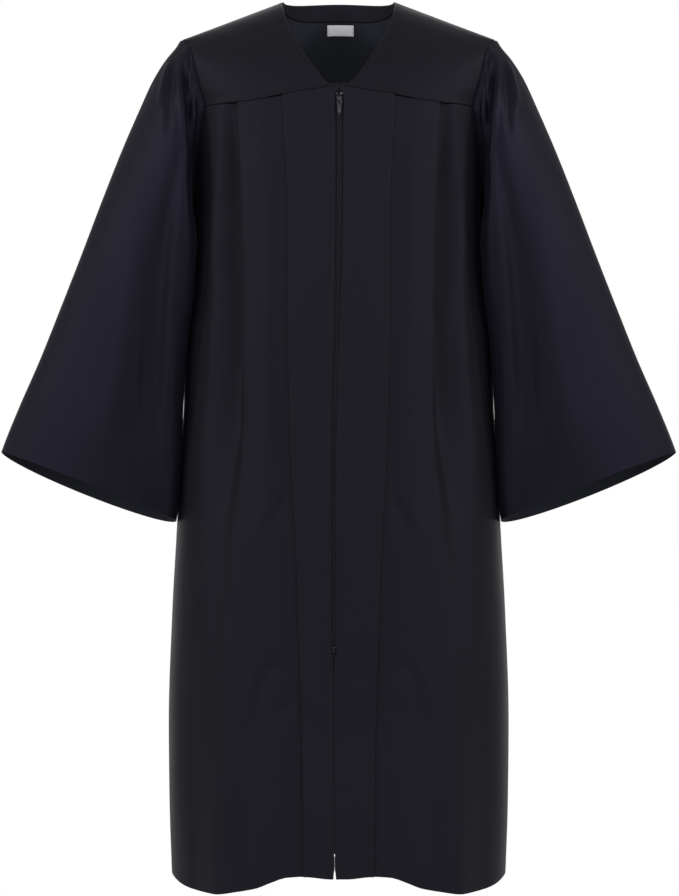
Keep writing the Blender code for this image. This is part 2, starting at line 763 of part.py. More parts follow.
def add_object(name, mesh_data, material, origin=None):
    """Make an object of a bmesh, with its own material and an optional origin."""
    if origin is not None:
        for vert in mesh_data.verts:
            vert.co -= origin
    mesh = bpy.data.meshes.new(name)
    mesh_data.to_mesh(mesh)
    mesh_data.free()
    thing = bpy.data.objects.new(name, mesh)
    bpy.context.scene.collection.objects.link(thing)
    if origin is not None:
        thing.location = origin
    mesh.materials.append(material)
    mesh.shade_smooth()
    mesh.set_sharp_from_angle(angle=math.radians(50))
    return thing


def make_wall(name, outer, inner, material, closed=False):
    """Build one closed wall between its right side and its wrong side."""
    mesh = bmesh.new()
    rows, columns = outer.shape[:2]
    front = [[mesh.verts.new(point * MM) for point in row] for row in outer]
    back = [[mesh.verts.new(point * MM) for point in row] for row in inner]
    last = columns if closed else columns - 1
    for i in range(rows - 1):
        for j in range(last):
            k = (j + 1) % columns
            mesh.faces.new((front[i][j], front[i + 1][j], front[i + 1][k], front[i][k]))
            mesh.faces.new((back[i][j], back[i][k], back[i + 1][k], back[i + 1][j]))
    for j in range(last):
        k = (j + 1) % columns
        mesh.faces.new((front[0][j], front[0][k], back[0][k], back[0][j]))
        mesh.faces.new((front[-1][j], back[-1][j], back[-1][k], front[-1][k]))
    if not closed:
        for i in range(rows - 1):
            mesh.faces.new((front[i][0], back[i][0], back[i + 1][0], front[i + 1][0]))
            mesh.faces.new((front[i][-1], front[i + 1][-1], back[i + 1][-1], back[i][-1]))
    bmesh.ops.recalc_face_normals(mesh, faces=mesh.faces)
    return add_object(name, mesh, material)


def mirrored(grid):
    """The same points for the wearer's right."""
    return grid * np.array([-1.0, 1.0, 1.0])


def handed(grid, hand):
    """A left grid for the given hand."""
    return grid if hand == LEFT else mirrored(grid)


def paint(name, colour, roughness, metallic=0.0):
    """A Principled material."""
    material = bpy.data.materials.new(name)
    material.use_nodes = True
    shader = material.node_tree.nodes["Principled BSDF"]
    shader.inputs["Base Color"].default_value = colour
    shader.inputs["Roughness"].default_value = roughness
    shader.inputs["Metallic"].default_value = metallic
    return material


def build_fronts():
    """Both fronts with their centre bands and pleats."""
    for hand, word in ((LEFT, "left"), (RIGHT, "right")):
        outer = front_grid(hand)
        inner = inner_grid(outer, CLOTH, masks={"top": (1, 1, 0)})
        inner[:, :, 1] = np.minimum(inner[:, :, 1], -SEAM / 2)
        outer[:, :, 1] = np.minimum(outer[:, :, 1], -SEAM / 2)
        name = "front_" + word
        make_wall(name, handed(outer, hand), handed(inner, hand), paint(name, CLOTH_COLOUR, 0.8))


def build_back():
    """The back panel, gathered into the yoke."""
    outer = back_grid()
    inner = inner_grid(outer, CLOTH, masks={"top": (1, 1, 0)})
    outer[:, :, 1] = np.maximum(outer[:, :, 1], SEAM / 2)
    inner[:, :, 1] = np.maximum(inner[:, :, 1], SEAM / 2)
    make_wall("back_panel", outer, inner, paint("back_panel", CLOTH_COLOUR, 0.8))


def build_yokes():
    """Front yokes and back yoke."""
    masks = {"top": (1, 0, 1), "bottom": (1, 1, 0)}
    for hand, word in ((LEFT, "left"), (RIGHT, "right")):
        outer = front_yoke_grid()
        inner = inner_grid(outer, CLOTH, masks=masks)
        inner[:, :, 1] = np.minimum(inner[:, :, 1], -SEAM / 2)
        name = "yoke_front_" + word
        make_wall(name, handed(outer, hand), handed(inner, hand), paint(name, CLOTH_COLOUR, 0.8))
    outer = back_yoke_grid()
    inner = inner_grid(outer, CLOTH, masks={"bottom": (1, 1, 0)})
    inner[:, :, 1] = np.maximum(inner[:, :, 1], SEAM / 2)
    make_wall("yoke_back", outer, inner, paint("yoke_back", CLOTH_COLOUR, 0.8))


def build_sleeves():
    """Both bell sleeves."""
    outer = sleeve_grid()
    inner = inner_grid(outer, CLOTH, closed=True)
    for hand, word in ((LEFT, "left"), (RIGHT, "right")):
        name = "sleeve_" + word
        make_wall(name, handed(outer, hand), handed(inner, hand), paint(name, CLOTH_COLOUR, 0.8), True)


def front_row_point(row, side_x, lift):
    """Point of the fronts' centre band at one of its rows, at a place across."""
    drop = BAND_DROPS[row]
    if row == 0:
        drop = read(YOKE_SEAM, "drop", abs(side_x), "across") + SEAM / 2 + SEAM_CHORD
    centre = read(FRONT_LINES, "opening", drop)
    return on_body(drop, FRONT, length_at(drop, FRONT, centre + side_x), lift)


def on_band(drop, side_x, lift):
    """Point over the centre band: side_x from the chain's centre, on the band's flats."""
    row = min(bisect_right(BAND_DROPS, drop) - 1, len(BAND_DROPS) - 2)
    share = (drop - BAND_DROPS[row]) / (BAND_DROPS[row + 1] - BAND_DROPS[row])
    return mix(front_row_point(row, side_x, lift), front_row_point(row + 1, side_x, lift), share)


def tape_drops():
    """Heights of the tapes' rows: the front's own rows and the ends of the coil."""
    ends = {TAPE_TOP, ZIP_SPREAD_TO, COIL_TOP - COIL_STEP, COIL_TOP, ZIP_SPREAD_FROM}
    ends |= {COIL_END, COIL_END + COIL_STEP, TAPE_END}
    return sorted(ends | {drop for drop in FRONT_DROPS if TAPE_TOP < drop < TAPE_END})


def build_tapes():
    """Both zip tapes, with a bead along the edge of each where the coil is."""
    for hand, word in ((LEFT, "left"), (RIGHT, "right")):
        outer, inner = [], []
        for drop in tape_drops():
            spread = ZIP_SPREAD * min(max((ZIP_SPREAD_FROM - drop) / (ZIP_SPREAD_FROM - ZIP_SPREAD_TO), 0), 1)
            coiled = COIL_TOP <= drop <= COIL_END
            columns = TAPE if hand == LEFT else TAPE[::-1]
            front = [column.front if coiled else column.flat_front for column in columns]
            back = [column.back if coiled else column.flat_back for column in columns]
            places = [hand * (column.out + spread) for column in columns]
            outer.append([on_band(drop, x, lift) for x, lift in zip(places, front)])
            inner.append([on_band(drop, x, lift) for x, lift in zip(places, back)])
        name = "zip_tape_" + word
        make_wall(name, np.array(outer), np.array(inner), paint(name, ZIP_COLOUR, 0.6))


def cells_body(xs, outs, downs, filled):
    """A closed body of the filled cells of a grid, in the zip's own frame."""
    mesh = bmesh.new()
    verts = {}
    counts = (len(xs) - 1, len(outs) - 1, len(downs) - 1)

    def vert(i, j, k):
        if (i, j, k) not in verts:
            verts[i, j, k] = mesh.verts.new((xs[i], outs[j], downs[k]))
        return verts[i, j, k]

    def solid(cell):
        return all(0 <= n < count for n, count in zip(cell, counts)) and filled(*cell)

    for cell in np.ndindex(*counts):
        if not filled(*cell):
            continue
        for axis in range(3):
            for end in (0, 1):
                beside = list(cell)
                beside[axis] += 2 * end - 1
                if solid(tuple(beside)):
                    continue
                first, second = [n for n in range(3) if n != axis]
                corners = []
                for a, b in ((0, 0), (1, 0), (1, 1), (0, 1)):
                    corner = list(cell)
                    corner[axis] += end
                    corner[first] += a
                    corner[second] += b
                    corners.append(vert(*corner))
                mesh.faces.new(corners)
    return mesh


def zip_frame(drop):
    """The zip's own frame: its origin, and the ways across, out and down the chain."""
    here = on_band(drop, 0, 0)
    down = on_band(drop + 5, 0, 0) - on_band(drop - 5, 0, 0)
    down /= np.linalg.norm(down)
    across = np.array([1.0, 0.0, 0.0])
    out = np.cross(down, across)
    return here, across, out / np.linalg.norm(out), down


def place_in_zip(mesh, drop, origin_out=0.0):
    """Move a body from the zip's own frame to its place and return its origin."""
    here, across, out, down = zip_frame(drop)
    for vert in mesh.verts:
        x, reach, fall = vert.co
        vert.co = (here + across * x + out * reach + down * fall) * MM
    bmesh.ops.recalc_face_normals(mesh, faces=mesh.faces)
    return (here + out * origin_out) * MM


def build_slider():
    """The slider: two plates joined by a post, and the bridge that holds the tab."""
    plate, inside = SLIDER_FRONT
    hole = plate + BRIDGE_HOLE_DEPTH
    leg = BRIDGE_HOLE_HALF + BRIDGE_LEG
    top = -SLIDER_HALF_HEIGHT
    xs = (-SLIDER_HALF_TOP, -BRIDGE_HALF, BRIDGE_HALF, SLIDER_HALF_TOP)
    outs = (SLIDER_BACK[1], SLIDER_BACK[0], inside, plate, hole, hole + BRIDGE_BAR)
    downs = (top, top + SLIDER_POST, -leg, -BRIDGE_HOLE_HALF, BRIDGE_HOLE_HALF, leg, SLIDER_HALF_HEIGHT)

    def filled(i, j, k):
        plates = j in (0, 2)
        post = j == 1 and i == 1 and k == 0
        legs = j == 3 and i == 1 and k in (2, 4)
        bar = j == 4 and i == 1 and k in (2, 3, 4)
        return plates or post or legs or bar

    mesh = cells_body(xs, outs, downs, filled)
    for vert in mesh.verts:
        share = (vert.co.z - top) / (2 * SLIDER_HALF_HEIGHT)
        if abs(vert.co.x) > BRIDGE_HALF:
            vert.co.x *= mix(1.0, SLIDER_HALF_FOOT / SLIDER_HALF_TOP, ease(share))
    place_in_zip(mesh, SLIDER_DROP)
    add_object("zip_slider", mesh, paint("zip_slider", METAL_COLOUR, 0.35, 1.0))


def build_pull():
    """The pull tab, a flat bar with a window that hangs on the slider's bridge."""
    reach = SLIDER_FRONT[0] + BRIDGE_HOLE_DEPTH / 2
    xs = (-PULL_HALF_TOP, -PULL_WINDOW_HALF, PULL_WINDOW_HALF, PULL_HALF_TOP)
    outs = (reach - PULL_BAR_HALF, reach + PULL_BAR_HALF)
    downs = (-PULL_BAR_HALF, PULL_BAR_HALF, PULL_WINDOW_END, PULL_LENGTH)
    mesh = cells_body(xs, outs, downs, lambda i, j, k: k != 1 or i != 1)
    for vert in mesh.verts:
        if abs(vert.co.x) > PULL_WINDOW_HALF:
            share = (vert.co.z + PULL_BAR_HALF) / (PULL_LENGTH + PULL_BAR_HALF)
            vert.co.x *= mix(1.0, PULL_HALF_FOOT / PULL_HALF_TOP, share)
    origin = place_in_zip(mesh, SLIDER_DROP, reach)
    add_object("zip_pull", mesh, paint("zip_pull", METAL_COLOUR, 0.3, 1.0), Vector(origin))


def build_stop(name, stop, across):
    """A small metal stop over the tapes, at a place across the chain."""
    xs = (across - stop.half_width, across + stop.half_width)
    mesh = cells_body(xs, (stop.back, stop.front), (0.0, stop.height), lambda i, j, k: True)
    place_in_zip(mesh, stop.drop)
    add_object(name, mesh, paint(name, METAL_COLOUR, 0.35, 1.0))


def build_zip():
    """The zip: tapes, slider, pull tab and stops."""
    build_tapes()
    build_slider()
    build_pull()
    build_stop("zip_top_stop_left", TOP_STOP, TOP_STOP_OUT)
    build_stop("zip_top_stop_right", TOP_STOP, -TOP_STOP_OUT)
    build_stop("zip_bottom_stop", BOTTOM_STOP, 0.0)


def inside_neck(depth):
    """The back yoke's points moved in from its right side by a depth."""
    grid = inner_grid(back_yoke_grid(), depth, masks={"bottom": (1, 1, 0)})
    grid[:, :, 1] = np.maximum(grid[:, :, 1], SEAM / 2)
    return grid


def build_band():
    """The band inside the back neck, cut to the yoke's own shape."""
    outer = inside_neck(CLOTH + BAND_GAP)[BAND_ROWS, BAND_COLUMNS]
    inner = inside_neck(CLOTH + BAND_GAP + BAND_CLOTH)[BAND_ROWS, BAND_COLUMNS]
    make_wall("back_neck_band", outer, inner, paint("back_neck_band", CLOTH_COLOUR, 0.75))


def point_across(grid, x, drop):
    """Point of a grid of rows at a place across and a drop."""
    centre = grid.shape[1] // 2
    row = float(np.interp(drop, -grid[:, centre, 2], range(len(grid))))
    low = min(int(row), len(grid) - 2)
    line = mix(grid[low], grid[low + 1], row - low)
    places = -line[:, 0]
    return np.array([x, np.interp(-x, places, line[:, 1]), np.interp(-x, places, line[:, 2])])


def build_label():
    """The small label sewn inside the back yoke, below the band."""
    walls = []
    for depth in (CLOTH + BAND_GAP, CLOTH + BAND_GAP + BAND_CLOTH):
        grid = inside_neck(depth)
        rows = []
        for i in range(LABEL_ROWS):
            drop = LABEL_TOP_DROP + LABEL_HEIGHT * i / (LABEL_ROWS - 1)
            across = LABEL_CENTRE + LABEL_HALF_WIDTH * np.linspace(1, -1, LABEL_COLUMNS)
            rows.append([point_across(grid, x, drop) for x in across])
        walls.append(np.array(rows))
    make_wall("label", walls[0], walls[1], paint("label", LABEL_COLOUR, 0.6))


def clear_scene():
    """Remove whatever the file holds."""
    for thing in list(bpy.data.objects):
        bpy.data.objects.remove(thing)


def main():
    """Build every piece of the gown."""
    clear_scene()
    build_fronts()
    build_back()
    build_yokes()
    build_sleeves()
    build_zip()
    build_band()
    build_label()


main()
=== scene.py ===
"""Looks of a graduation gown: fine cloth panels, seams, stitching, a coil zip and a label.

Every length in the tables is in millimetres. A height is given as its drop below the
origin, which lies between the neck ends of the shoulder seams. The front faces -Y and +X
is the wearer's left. Panels are worked out for the wearer's left and mirrored.
"""

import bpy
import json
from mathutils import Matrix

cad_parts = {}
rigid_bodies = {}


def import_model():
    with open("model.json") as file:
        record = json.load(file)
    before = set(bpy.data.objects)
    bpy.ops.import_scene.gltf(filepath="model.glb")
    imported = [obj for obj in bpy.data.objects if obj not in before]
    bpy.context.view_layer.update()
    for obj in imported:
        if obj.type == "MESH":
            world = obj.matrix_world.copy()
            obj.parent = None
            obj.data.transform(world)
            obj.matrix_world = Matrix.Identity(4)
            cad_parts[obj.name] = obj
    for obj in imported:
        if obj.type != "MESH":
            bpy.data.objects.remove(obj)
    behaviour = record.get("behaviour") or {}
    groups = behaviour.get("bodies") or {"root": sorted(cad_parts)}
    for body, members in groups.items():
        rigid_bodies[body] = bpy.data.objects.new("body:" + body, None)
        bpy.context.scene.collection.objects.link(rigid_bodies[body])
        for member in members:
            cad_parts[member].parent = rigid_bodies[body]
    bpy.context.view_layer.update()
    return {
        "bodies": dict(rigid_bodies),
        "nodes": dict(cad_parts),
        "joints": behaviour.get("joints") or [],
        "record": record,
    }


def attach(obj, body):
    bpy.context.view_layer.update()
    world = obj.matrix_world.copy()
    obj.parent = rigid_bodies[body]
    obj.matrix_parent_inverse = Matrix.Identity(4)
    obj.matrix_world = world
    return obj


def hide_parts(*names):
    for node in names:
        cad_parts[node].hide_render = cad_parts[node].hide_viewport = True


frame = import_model()

import json
import logging
import math
from dataclasses import dataclass, field
from enum import Enum
from typing import Callable, List, Optional, Sequence, Tuple, Union

import bmesh
import bpy
import numpy as np
from mathutils import Matrix, Vector

logging.basicConfig(level=logging.INFO, format="%(message)s")
LOG = logging.getLogger("gown")

Numbers = Union[float, np.ndarray]
Socket = bpy.types.NodeSocket
Input = Union[Socket, float, Tuple[float, ...]]

MM = 0.001
GOWN = "gown"
PULL = "pull_tab"

NECK_HALF = 72.0
SHOULDER_TIP_HALF = 200.3
SHOULDER_TIP_DROP = 48.7
BACK_NECK_DEPTH = 72.0
BACK_NECK_RISE = 7.0
FRONT_CORNER_DROP = 139.0
BACK_CORNER_DROP = 152.0
BACK_SEAM_SAG = 13.0
UNDERARM_DROP = 262.0
HEM_DROP = 1112.0
HEM_SHAPED_FROM = 880.0
SQUARENESS = 2.3
CENTRE_GAP = 0.15
PULL_LENGTH = 20.5
HINGE = frame["record"]["behaviour"]["joints"][0]["pos_m"]


class Side(Enum):
    """Front or back of the gown."""

    FRONT = -1
    BACK = 1


class Hand(Enum):
    """The wearer's left or right."""

    LEFT = 1
    RIGHT = -1


def ease(share: Numbers) -> np.ndarray:
    """Go from 0 to 1 with a flat start and end.

    Args:
        share: a number or an array.

    Returns:
        The eased share, kept between 0 and 1.
    """
    share = np.clip(share, 0.0, 1.0)
    return share * share * (3 - 2 * share)


def mix(low: Numbers, high: Numbers, share: Numbers) -> Numbers:
    """Blend two numbers or arrays.

    Args:
        low: the value at share 0.
        high: the value at share 1.
        share: how far to go.

    Returns:
        The blend.
    """
    return low + (high - low) * share


class Table:
    """Rows of named columns, read on smooth curves that never overshoot them."""

    def __init__(self, names: str, rows: Sequence[Sequence[float]]) -> None:
        """Keep the columns; the first one is the key.

        Args:
            names: the columns' names, with spaces between them.
            rows: one row of values for each key.
        """
        values = np.array(rows, dtype=float)
        self.names = names.split()
        self.keys = values[:, 0]
        self.columns = {name: values[:, i] for i, name in enumerate(self.names)}

    def read(self, name: str, at: Numbers) -> np.ndarray:
        """Read a column.

        Args:
            name: the column.
            at: the key, a number or an array.

        Returns:
            The value there, of the same shape.
        """
        keys, values = self.keys, self.columns[name]
        at = np.clip(at, keys[0], keys[-1])
        slopes = np.diff(values) / np.diff(keys)
        before, after = slopes[:-1], slopes[1:]
        same = before * after > 0
        total = np.where(same, before + after, 1.0)
        inner = np.where(same, 2 * before * after / total, 0.0)
        tangents = np.concatenate([slopes[:1], inner, slopes[-1:]])
        low = np.clip(np.searchsorted(keys, at, side="right") - 1, 0, len(keys) - 2)
        span = keys[low + 1] - keys[low]
        share = (at - keys[low]) / span
        rest = 1 - share
        return (
            values[low] * (1 + 2 * share) * rest ** 2
            + values[low + 1] * (3 - 2 * share) * share ** 2
            + span * share * rest * (tangents[low] * rest - tangents[low + 1] * share)
        )


BODY = Table("drop half front back", (
    (100, 185.5, 103, 92),
    (140, 185.5, 109, 101),
    (262, 185.5, 121, 114),
    (340, 186.5, 126, 119),
    (378, 189.5, 128, 121),
    (420, 194.5, 130, 123),
    (470, 197.0, 132, 125),
    (520, 198.4, 133.5, 126.5),
    (560, 201.3, 135, 128),
    (610, 204.6, 137, 130),
    (660, 206.5, 139, 132),
    (780, 213.0, 144, 137),
    (920, 217.5, 150, 143),
    (1020, 216.5, 154, 148),
    (1125, 213.0, 157, 152),
))
ARMHOLE = Table("drop half", (
    (SHOULDER_TIP_DROP, SHOULDER_TIP_HALF),
    (56, 191.0),
    (72, 185.6),
    (94, 180.5),
    (116, 174.5),
    (139, 168.5),
    (158, 172.0),
    (182, 176.5),
    (207, 180.0),
    (235, 183.0),
    (UNDERARM_DROP, 185.5),
))
YOKE_SEAM = Table("across drop", (
    (-10, 118.4),
    (10, 118.4),
    (30, 122.0),
    (50, 124.5),
    (80, 130.2),
    (104, 134.5),
    (135, 137.0),
    (168.5, FRONT_CORNER_DROP),
))
FRONT_HEM = Table("across drop", (
    (-10, 1103.0),
    (10, 1103.0),
    (40, 1100.5),
    (65, 1102.0),
    (83, 1108.0),
    (102, 1116.0),
    (125, 1121.0),
    (150, 1125.0),
    (174, 1124.5),
    (195, 1121.0),
    (214, 1112.0),
))
FRONT_LINES = Table("drop opening band band_fall outer belly", (
    (125, 0.8, 70.6, 1.6, 128.0, 0.0),
    (165, 0.8, 68.8, 3.0, 126.4, 0.0),
    (225, 0.8, 65.2, 3.8, 123.0, 0.0),
    (290, 0.4, 62.8, 4.4, 120.0, 0.0),
    (390, -1.6, 63.0, 5.0, 118.0, 0.0),
    (460, -3.5, 62.4, 5.0, 118.0, 0.0),
    (530, -5.4, 61.0, 5.0, 119.0, 0.0),
    (610, -6.1, 58.0, 4.8, 122.0, 1.0),
    (690, -6.1, 53.2, 4.4, 126.0, 3.0),
    (828, -6.1, 48.3, 4.2, 132.6, 6.3),
    (850, -6.1, 47.6, 4.2, 133.4, 6.8),
    (910, -6.1, 45.7, 4.0, 136.0, 8.0),
    (1020, -5.5, 44.2, 3.8, 138.0, 10.0),
    (1125, -4.8, 43.7, 3.8, 140.0, 11.0),
))
CLOSING = Table("drop gap", (
    (125, 0.4), (137.5, 0.5), (140.5, 2.4), (143.5, 8.2), (147, 9.6), (165, 9.6),
    (225, 9.2), (290, 8.6), (390, 7.4), (460, 6.4), (530, 5.6),
    (610, 5.2), (822, 5.2), (842, 0.3), (910, 0.2), (1073, 0.15), (1079, 1.7), (1085, 0.15),
    (1098, 0.2), (1106, 2.4), (1125, 4.5),
))
BACK_FOLDS = Table("drop reach narrow broad", (
    (150, 156, 1.6, 0.0),
    (195, 161, 3.2, 0.6),
    (262, 169, 3.2, 2.5),
    (400, 185, 2.2, 6.0),
    (600, 206, 0.9, 10.0),
    (900, 228, 0.2, 14.0),
    (1125, 236, 0.0, 16.0),
))
V_NECK = Table("share half depth drop", (
    (0 / 7, NECK_HALF, 0.0, 0.0),
    (1 / 7, 71.0, 15.0, 7.0),
    (2 / 7, 68.4, 35.0, 21.0),
    (3 / 7, 63.7, 51.0, 36.7),
    (4 / 7, 55.9, 66.0, 54.0),
    (5 / 7, 41.8, 82.0, 76.7),
    (6 / 7, 26.5, 95.0, 99.0),
    (7 / 7, 10.0, 105.5, 118.1),
))
SLEEVE = Table("station outer_x outer_drop inner_x inner_drop inner_y front back", (
    (0, 200.9, 49.0, 186.2, 261.0, 0, 54, 54),
    (1, 209.0, 59.5, 187.2, 268.0, -8, 57, 57),
    (2, 221.5, 74.5, 184.6, 277.0, -24, 58, 60),
    (3, 237.5, 100.0, 180.6, 290.0, -42, 56, 66),
    (4, 255.0, 138.0, 179.0, 312.0, -51, 52, 74),
    (5, 278.0, 191.0, 180.6, 342.0, -55, 47, 83),
    (6, 303.0, 254.0, 183.4, 380.0, -54, 45, 89),
    (7, 330.0, 325.0, 189.4, 424.0, -51, 45, 91),
    (8, 357.0, 394.0, 193.8, 472.0, -48, 46, 92),
    (9, 383.0, 459.0, 197.0, 524.0, -46, 47, 92),
    (10, 408.0, 516.0, 199.5, 588.0, -44, 48, 92),
    (11, 425.0, 557.0, 202.4, 638.0, -42, 49, 91),
    (12, 432.5, 577.0, 205.8, 663.0, -40, 50, 90),
))


class Body:
    """The gown's body: a squared oval at each height, measured along its cloth."""

    FIRST, LAST, STEP = 96.0, 1140.0, 4.0
    SAMPLES = 361

    def __init__(self) -> None:
        """Tabulate both halves of the section at every height."""
        drops = np.arange(self.FIRST, self.LAST + 1, self.STEP)
        turns = np.linspace(0.0, math.pi / 2, 1201)
        self.even = np.linspace(0.0, 1.0, self.SAMPLES)
        self.total, self.x, self.y, self.by_x = {}, {}, {}, {}
        for side in Side:
            column = "front" if side is Side.FRONT else "back"
            totals, xs, ys, shares = [], [], [], []
            for drop in drops:
                half = BODY.read("half", drop)
                depth = BODY.read(column, drop)
                x = half * np.sin(turns) ** (2 / SQUARENESS)
                y = side.value * depth * np.clip(np.cos(turns), 0, 1) ** (2 / SQUARENESS)
                run = np.concatenate([[0.0], np.cumsum(np.hypot(np.diff(x), np.diff(y)))])
                totals.append(run[-1])
                xs.append(np.interp(self.even, run / run[-1], x))
                ys.append(np.interp(self.even, run / run[-1], y))
                shares.append(np.interp(self.even * half, x, run / run[-1]))
            self.total[side] = np.array(totals)
            self.x[side] = np.array(xs)
            self.y[side] = np.array(ys)
            self.by_x[side] = np.array(shares)

    def sample(self, table: np.ndarray, drop: np.ndarray, share: np.ndarray) -> np.ndarray:
        """Read a tabulated value between its heights and shares.

        Args:
            table: heights by shares of values.
            drop: the height, as a drop below the origin.
            share: the share of the cloth's reach.

        Returns:
            The value there.
        """
        row = np.clip((drop - self.FIRST) / self.STEP, 0, len(table) - 1.001)
        column = np.clip(share, 0, 1) * (self.SAMPLES - 1.001)
        i, j = row.astype(int), column.astype(int)
        a, b = row - i, column - j
        upper = table[i, j] * (1 - b) + table[i, j + 1] * b
        lower = table[i + 1, j] * (1 - b) + table[i + 1, j + 1] * b
        return upper * (1 - a) + lower * a

    def reach(self, side: Side, drop: Numbers) -> np.ndarray:
        """Distance along the cloth from the centre line to the side seam.

        Args:
            side: front or back.
            drop: the height, as a drop below the origin.

        Returns:
            The distance in millimetres.
        """
        row = np.clip((np.asarray(drop, float) - self.FIRST) / self.STEP, 0, len(self.total[side]) - 1.001)
        i = row.astype(int)
        return mix(self.total[side][i], self.total[side][i + 1], row - i)

    def length_at(self, side: Side, drop: Numbers, across: Numbers) -> np.ndarray:
        """Distance along the cloth from the centre line to a place across.

        Args:
            side: front or back.
            drop: the height, as a drop below the origin.
            across: the distance from the centre line, seen from the front.

        Returns:
            The distance, negative on the wearer's right.
        """
        drop, across = np.broadcast_arrays(np.asarray(drop, float), np.asarray(across, float))
        half = BODY.read("half", drop)
        share = self.sample(self.by_x[side], drop, np.abs(across) / half)
        return np.sign(across) * share * self.reach(side, drop)

    def points(
        self, side: Side, drop: Numbers, length: Numbers, lift: Numbers = 0.0
    ) -> np.ndarray:
        """Points at heights and distances along the cloth, moved out by a lift.

        Args:
            side: front or back.
            drop: the height, as a drop below the origin.
            length: the distance along the cloth from the centre line.
            lift: how far out the point moves.

        Returns:
            The points, with their three coordinates last.
        """
        drop, length, lift = np.broadcast_arrays(
            np.asarray(drop, float), np.asarray(length, float), np.asarray(lift, float)
        )
        total = self.reach(side, drop)
        share = np.clip(np.abs(length) / total, 0.0, 1.0)
        step = 2.5 / total
        low, high = np.clip(share - step, 0, 1), np.clip(share + step, 0, 1)
        dx = self.sample(self.x[side], drop, high) - self.sample(self.x[side], drop, low)
        dy = self.sample(self.y[side], drop, high) - self.sample(self.y[side], drop, low)
        norm = np.hypot(dx, dy)
        sign = np.where(length < 0, -1.0, 1.0)
        x = sign * (self.sample(self.x[side], drop, share) + lift * np.abs(dy) / norm)
        y = self.sample(self.y[side], drop, share) + side.value * lift * np.abs(dx) / norm
        return np.stack([x, y, -drop], axis=-1)

    def edge(self, side: Side, drop: Numbers) -> np.ndarray:
        """Distance along the cloth to the armhole, or to the side seam below it.

        Args:
            side: front or back.
            drop: the height, as a drop below the origin.

        Returns:
            The distance in millimetres.
        """
        drop = np.asarray(drop, float)
        return np.where(
            drop >= UNDERARM_DROP,
            self.reach(side, drop),
            self.length_at(side, drop, ARMHOLE.read("half", drop)),
        )

    def half_at(self, drop: Numbers, depth: Numbers) -> np.ndarray:
        """Half width at a height and a depth, or 0 in front of or behind the body.

        Args:
            drop: the height, as a drop below the origin.
            depth: the place from front to back, negative in front.

        Returns:
            The half width in millimetres.
        """
        drop = np.maximum(drop, 100.0)
        limit = np.where(depth < 0, BODY.read("front", drop), BODY.read("back", drop))
        inside = np.clip(1 - (np.abs(depth) / limit) ** SQUARENESS, 0, 1)
        return BODY.read("half", drop) * inside ** (1 / SQUARENESS)


BODY_FORM = Body()


class ArmholeSeam:
    """The left armhole's seam line, from the shoulder tip to the underarm."""

    TUCK = 3.5
    DEPTH = 1.8

    def __init__(self) -> None:
        """Trace both halves of the seam, and the sleeve's seam allowance inside it."""
        self.lines = {}
        for side in Side:
            corner = FRONT_CORNER_DROP if side is Side.FRONT else BACK_CORNER_DROP
            shares = np.linspace(0, 1, 60)
            turn = math.pi / 2 * shares
            upper = self.on_yoke(side, shares)
            inward = np.stack([
                np.full(60, -self.TUCK), -side.value * self.DEPTH * np.sin(turn), -self.DEPTH * np.cos(turn),
            ], axis=-1)
            drops = np.linspace(corner, UNDERARM_DROP, 60)[1:]
            edge = BODY_FORM.edge(side, drops)
            lower = BODY_FORM.points(side, drops, edge)
            under = BODY_FORM.points(side, drops, edge - self.TUCK, -self.DEPTH)
            points = np.concatenate([upper, lower])
            tucked = np.concatenate([upper + inward, under])
            run = np.concatenate([[0], np.cumsum(np.linalg.norm(np.diff(points, axis=0), axis=1))])
            self.lines[side] = (run / run[-1], points, tucked)

    @staticmethod
    def on_yoke(side: Side, share: Numbers) -> np.ndarray:
        """Points of the seam along the yoke, from the tip to the corner.

        Args:
            side: front or back.
            share: 0 at the tip, 1 at the corner.

        Returns:
            The points in millimetres.
        """
        corner = FRONT_CORNER_DROP if side is Side.FRONT else BACK_CORNER_DROP
        depth = BODY_FORM.points(side, corner, BODY_FORM.edge(side, corner))[1]
        turn = math.pi / 2 * np.asarray(share, float)
        drop = mix(SHOULDER_TIP_DROP, corner, 1 - np.cos(turn))
        return np.stack([ARMHOLE.read("half", drop), depth * np.sin(turn), -drop], axis=-1)

    def at(self, turns: np.ndarray, tucked: bool = False) -> np.ndarray:
        """Points at turns in degrees: 0 is the tip, 90 the front, 180 the underarm.

        Args:
            turns: the turns.
            tucked: whether to read the allowance inside the seam.

        Returns:
            One point for each turn.
        """
        out = np.zeros((len(turns), 3))
        for side in Side:
            chosen = turns <= 180 if side is Side.FRONT else turns > 180
            share = np.where(turns <= 180, turns, 360 - turns)[chosen] / 180
            run, points, inside = self.lines[side]
            line = inside if tucked else points
            out[chosen] = np.stack([np.interp(share, run, line[:, k]) for k in range(3)], axis=-1)
        return out


ARMHOLE_SEAM = ArmholeSeam()


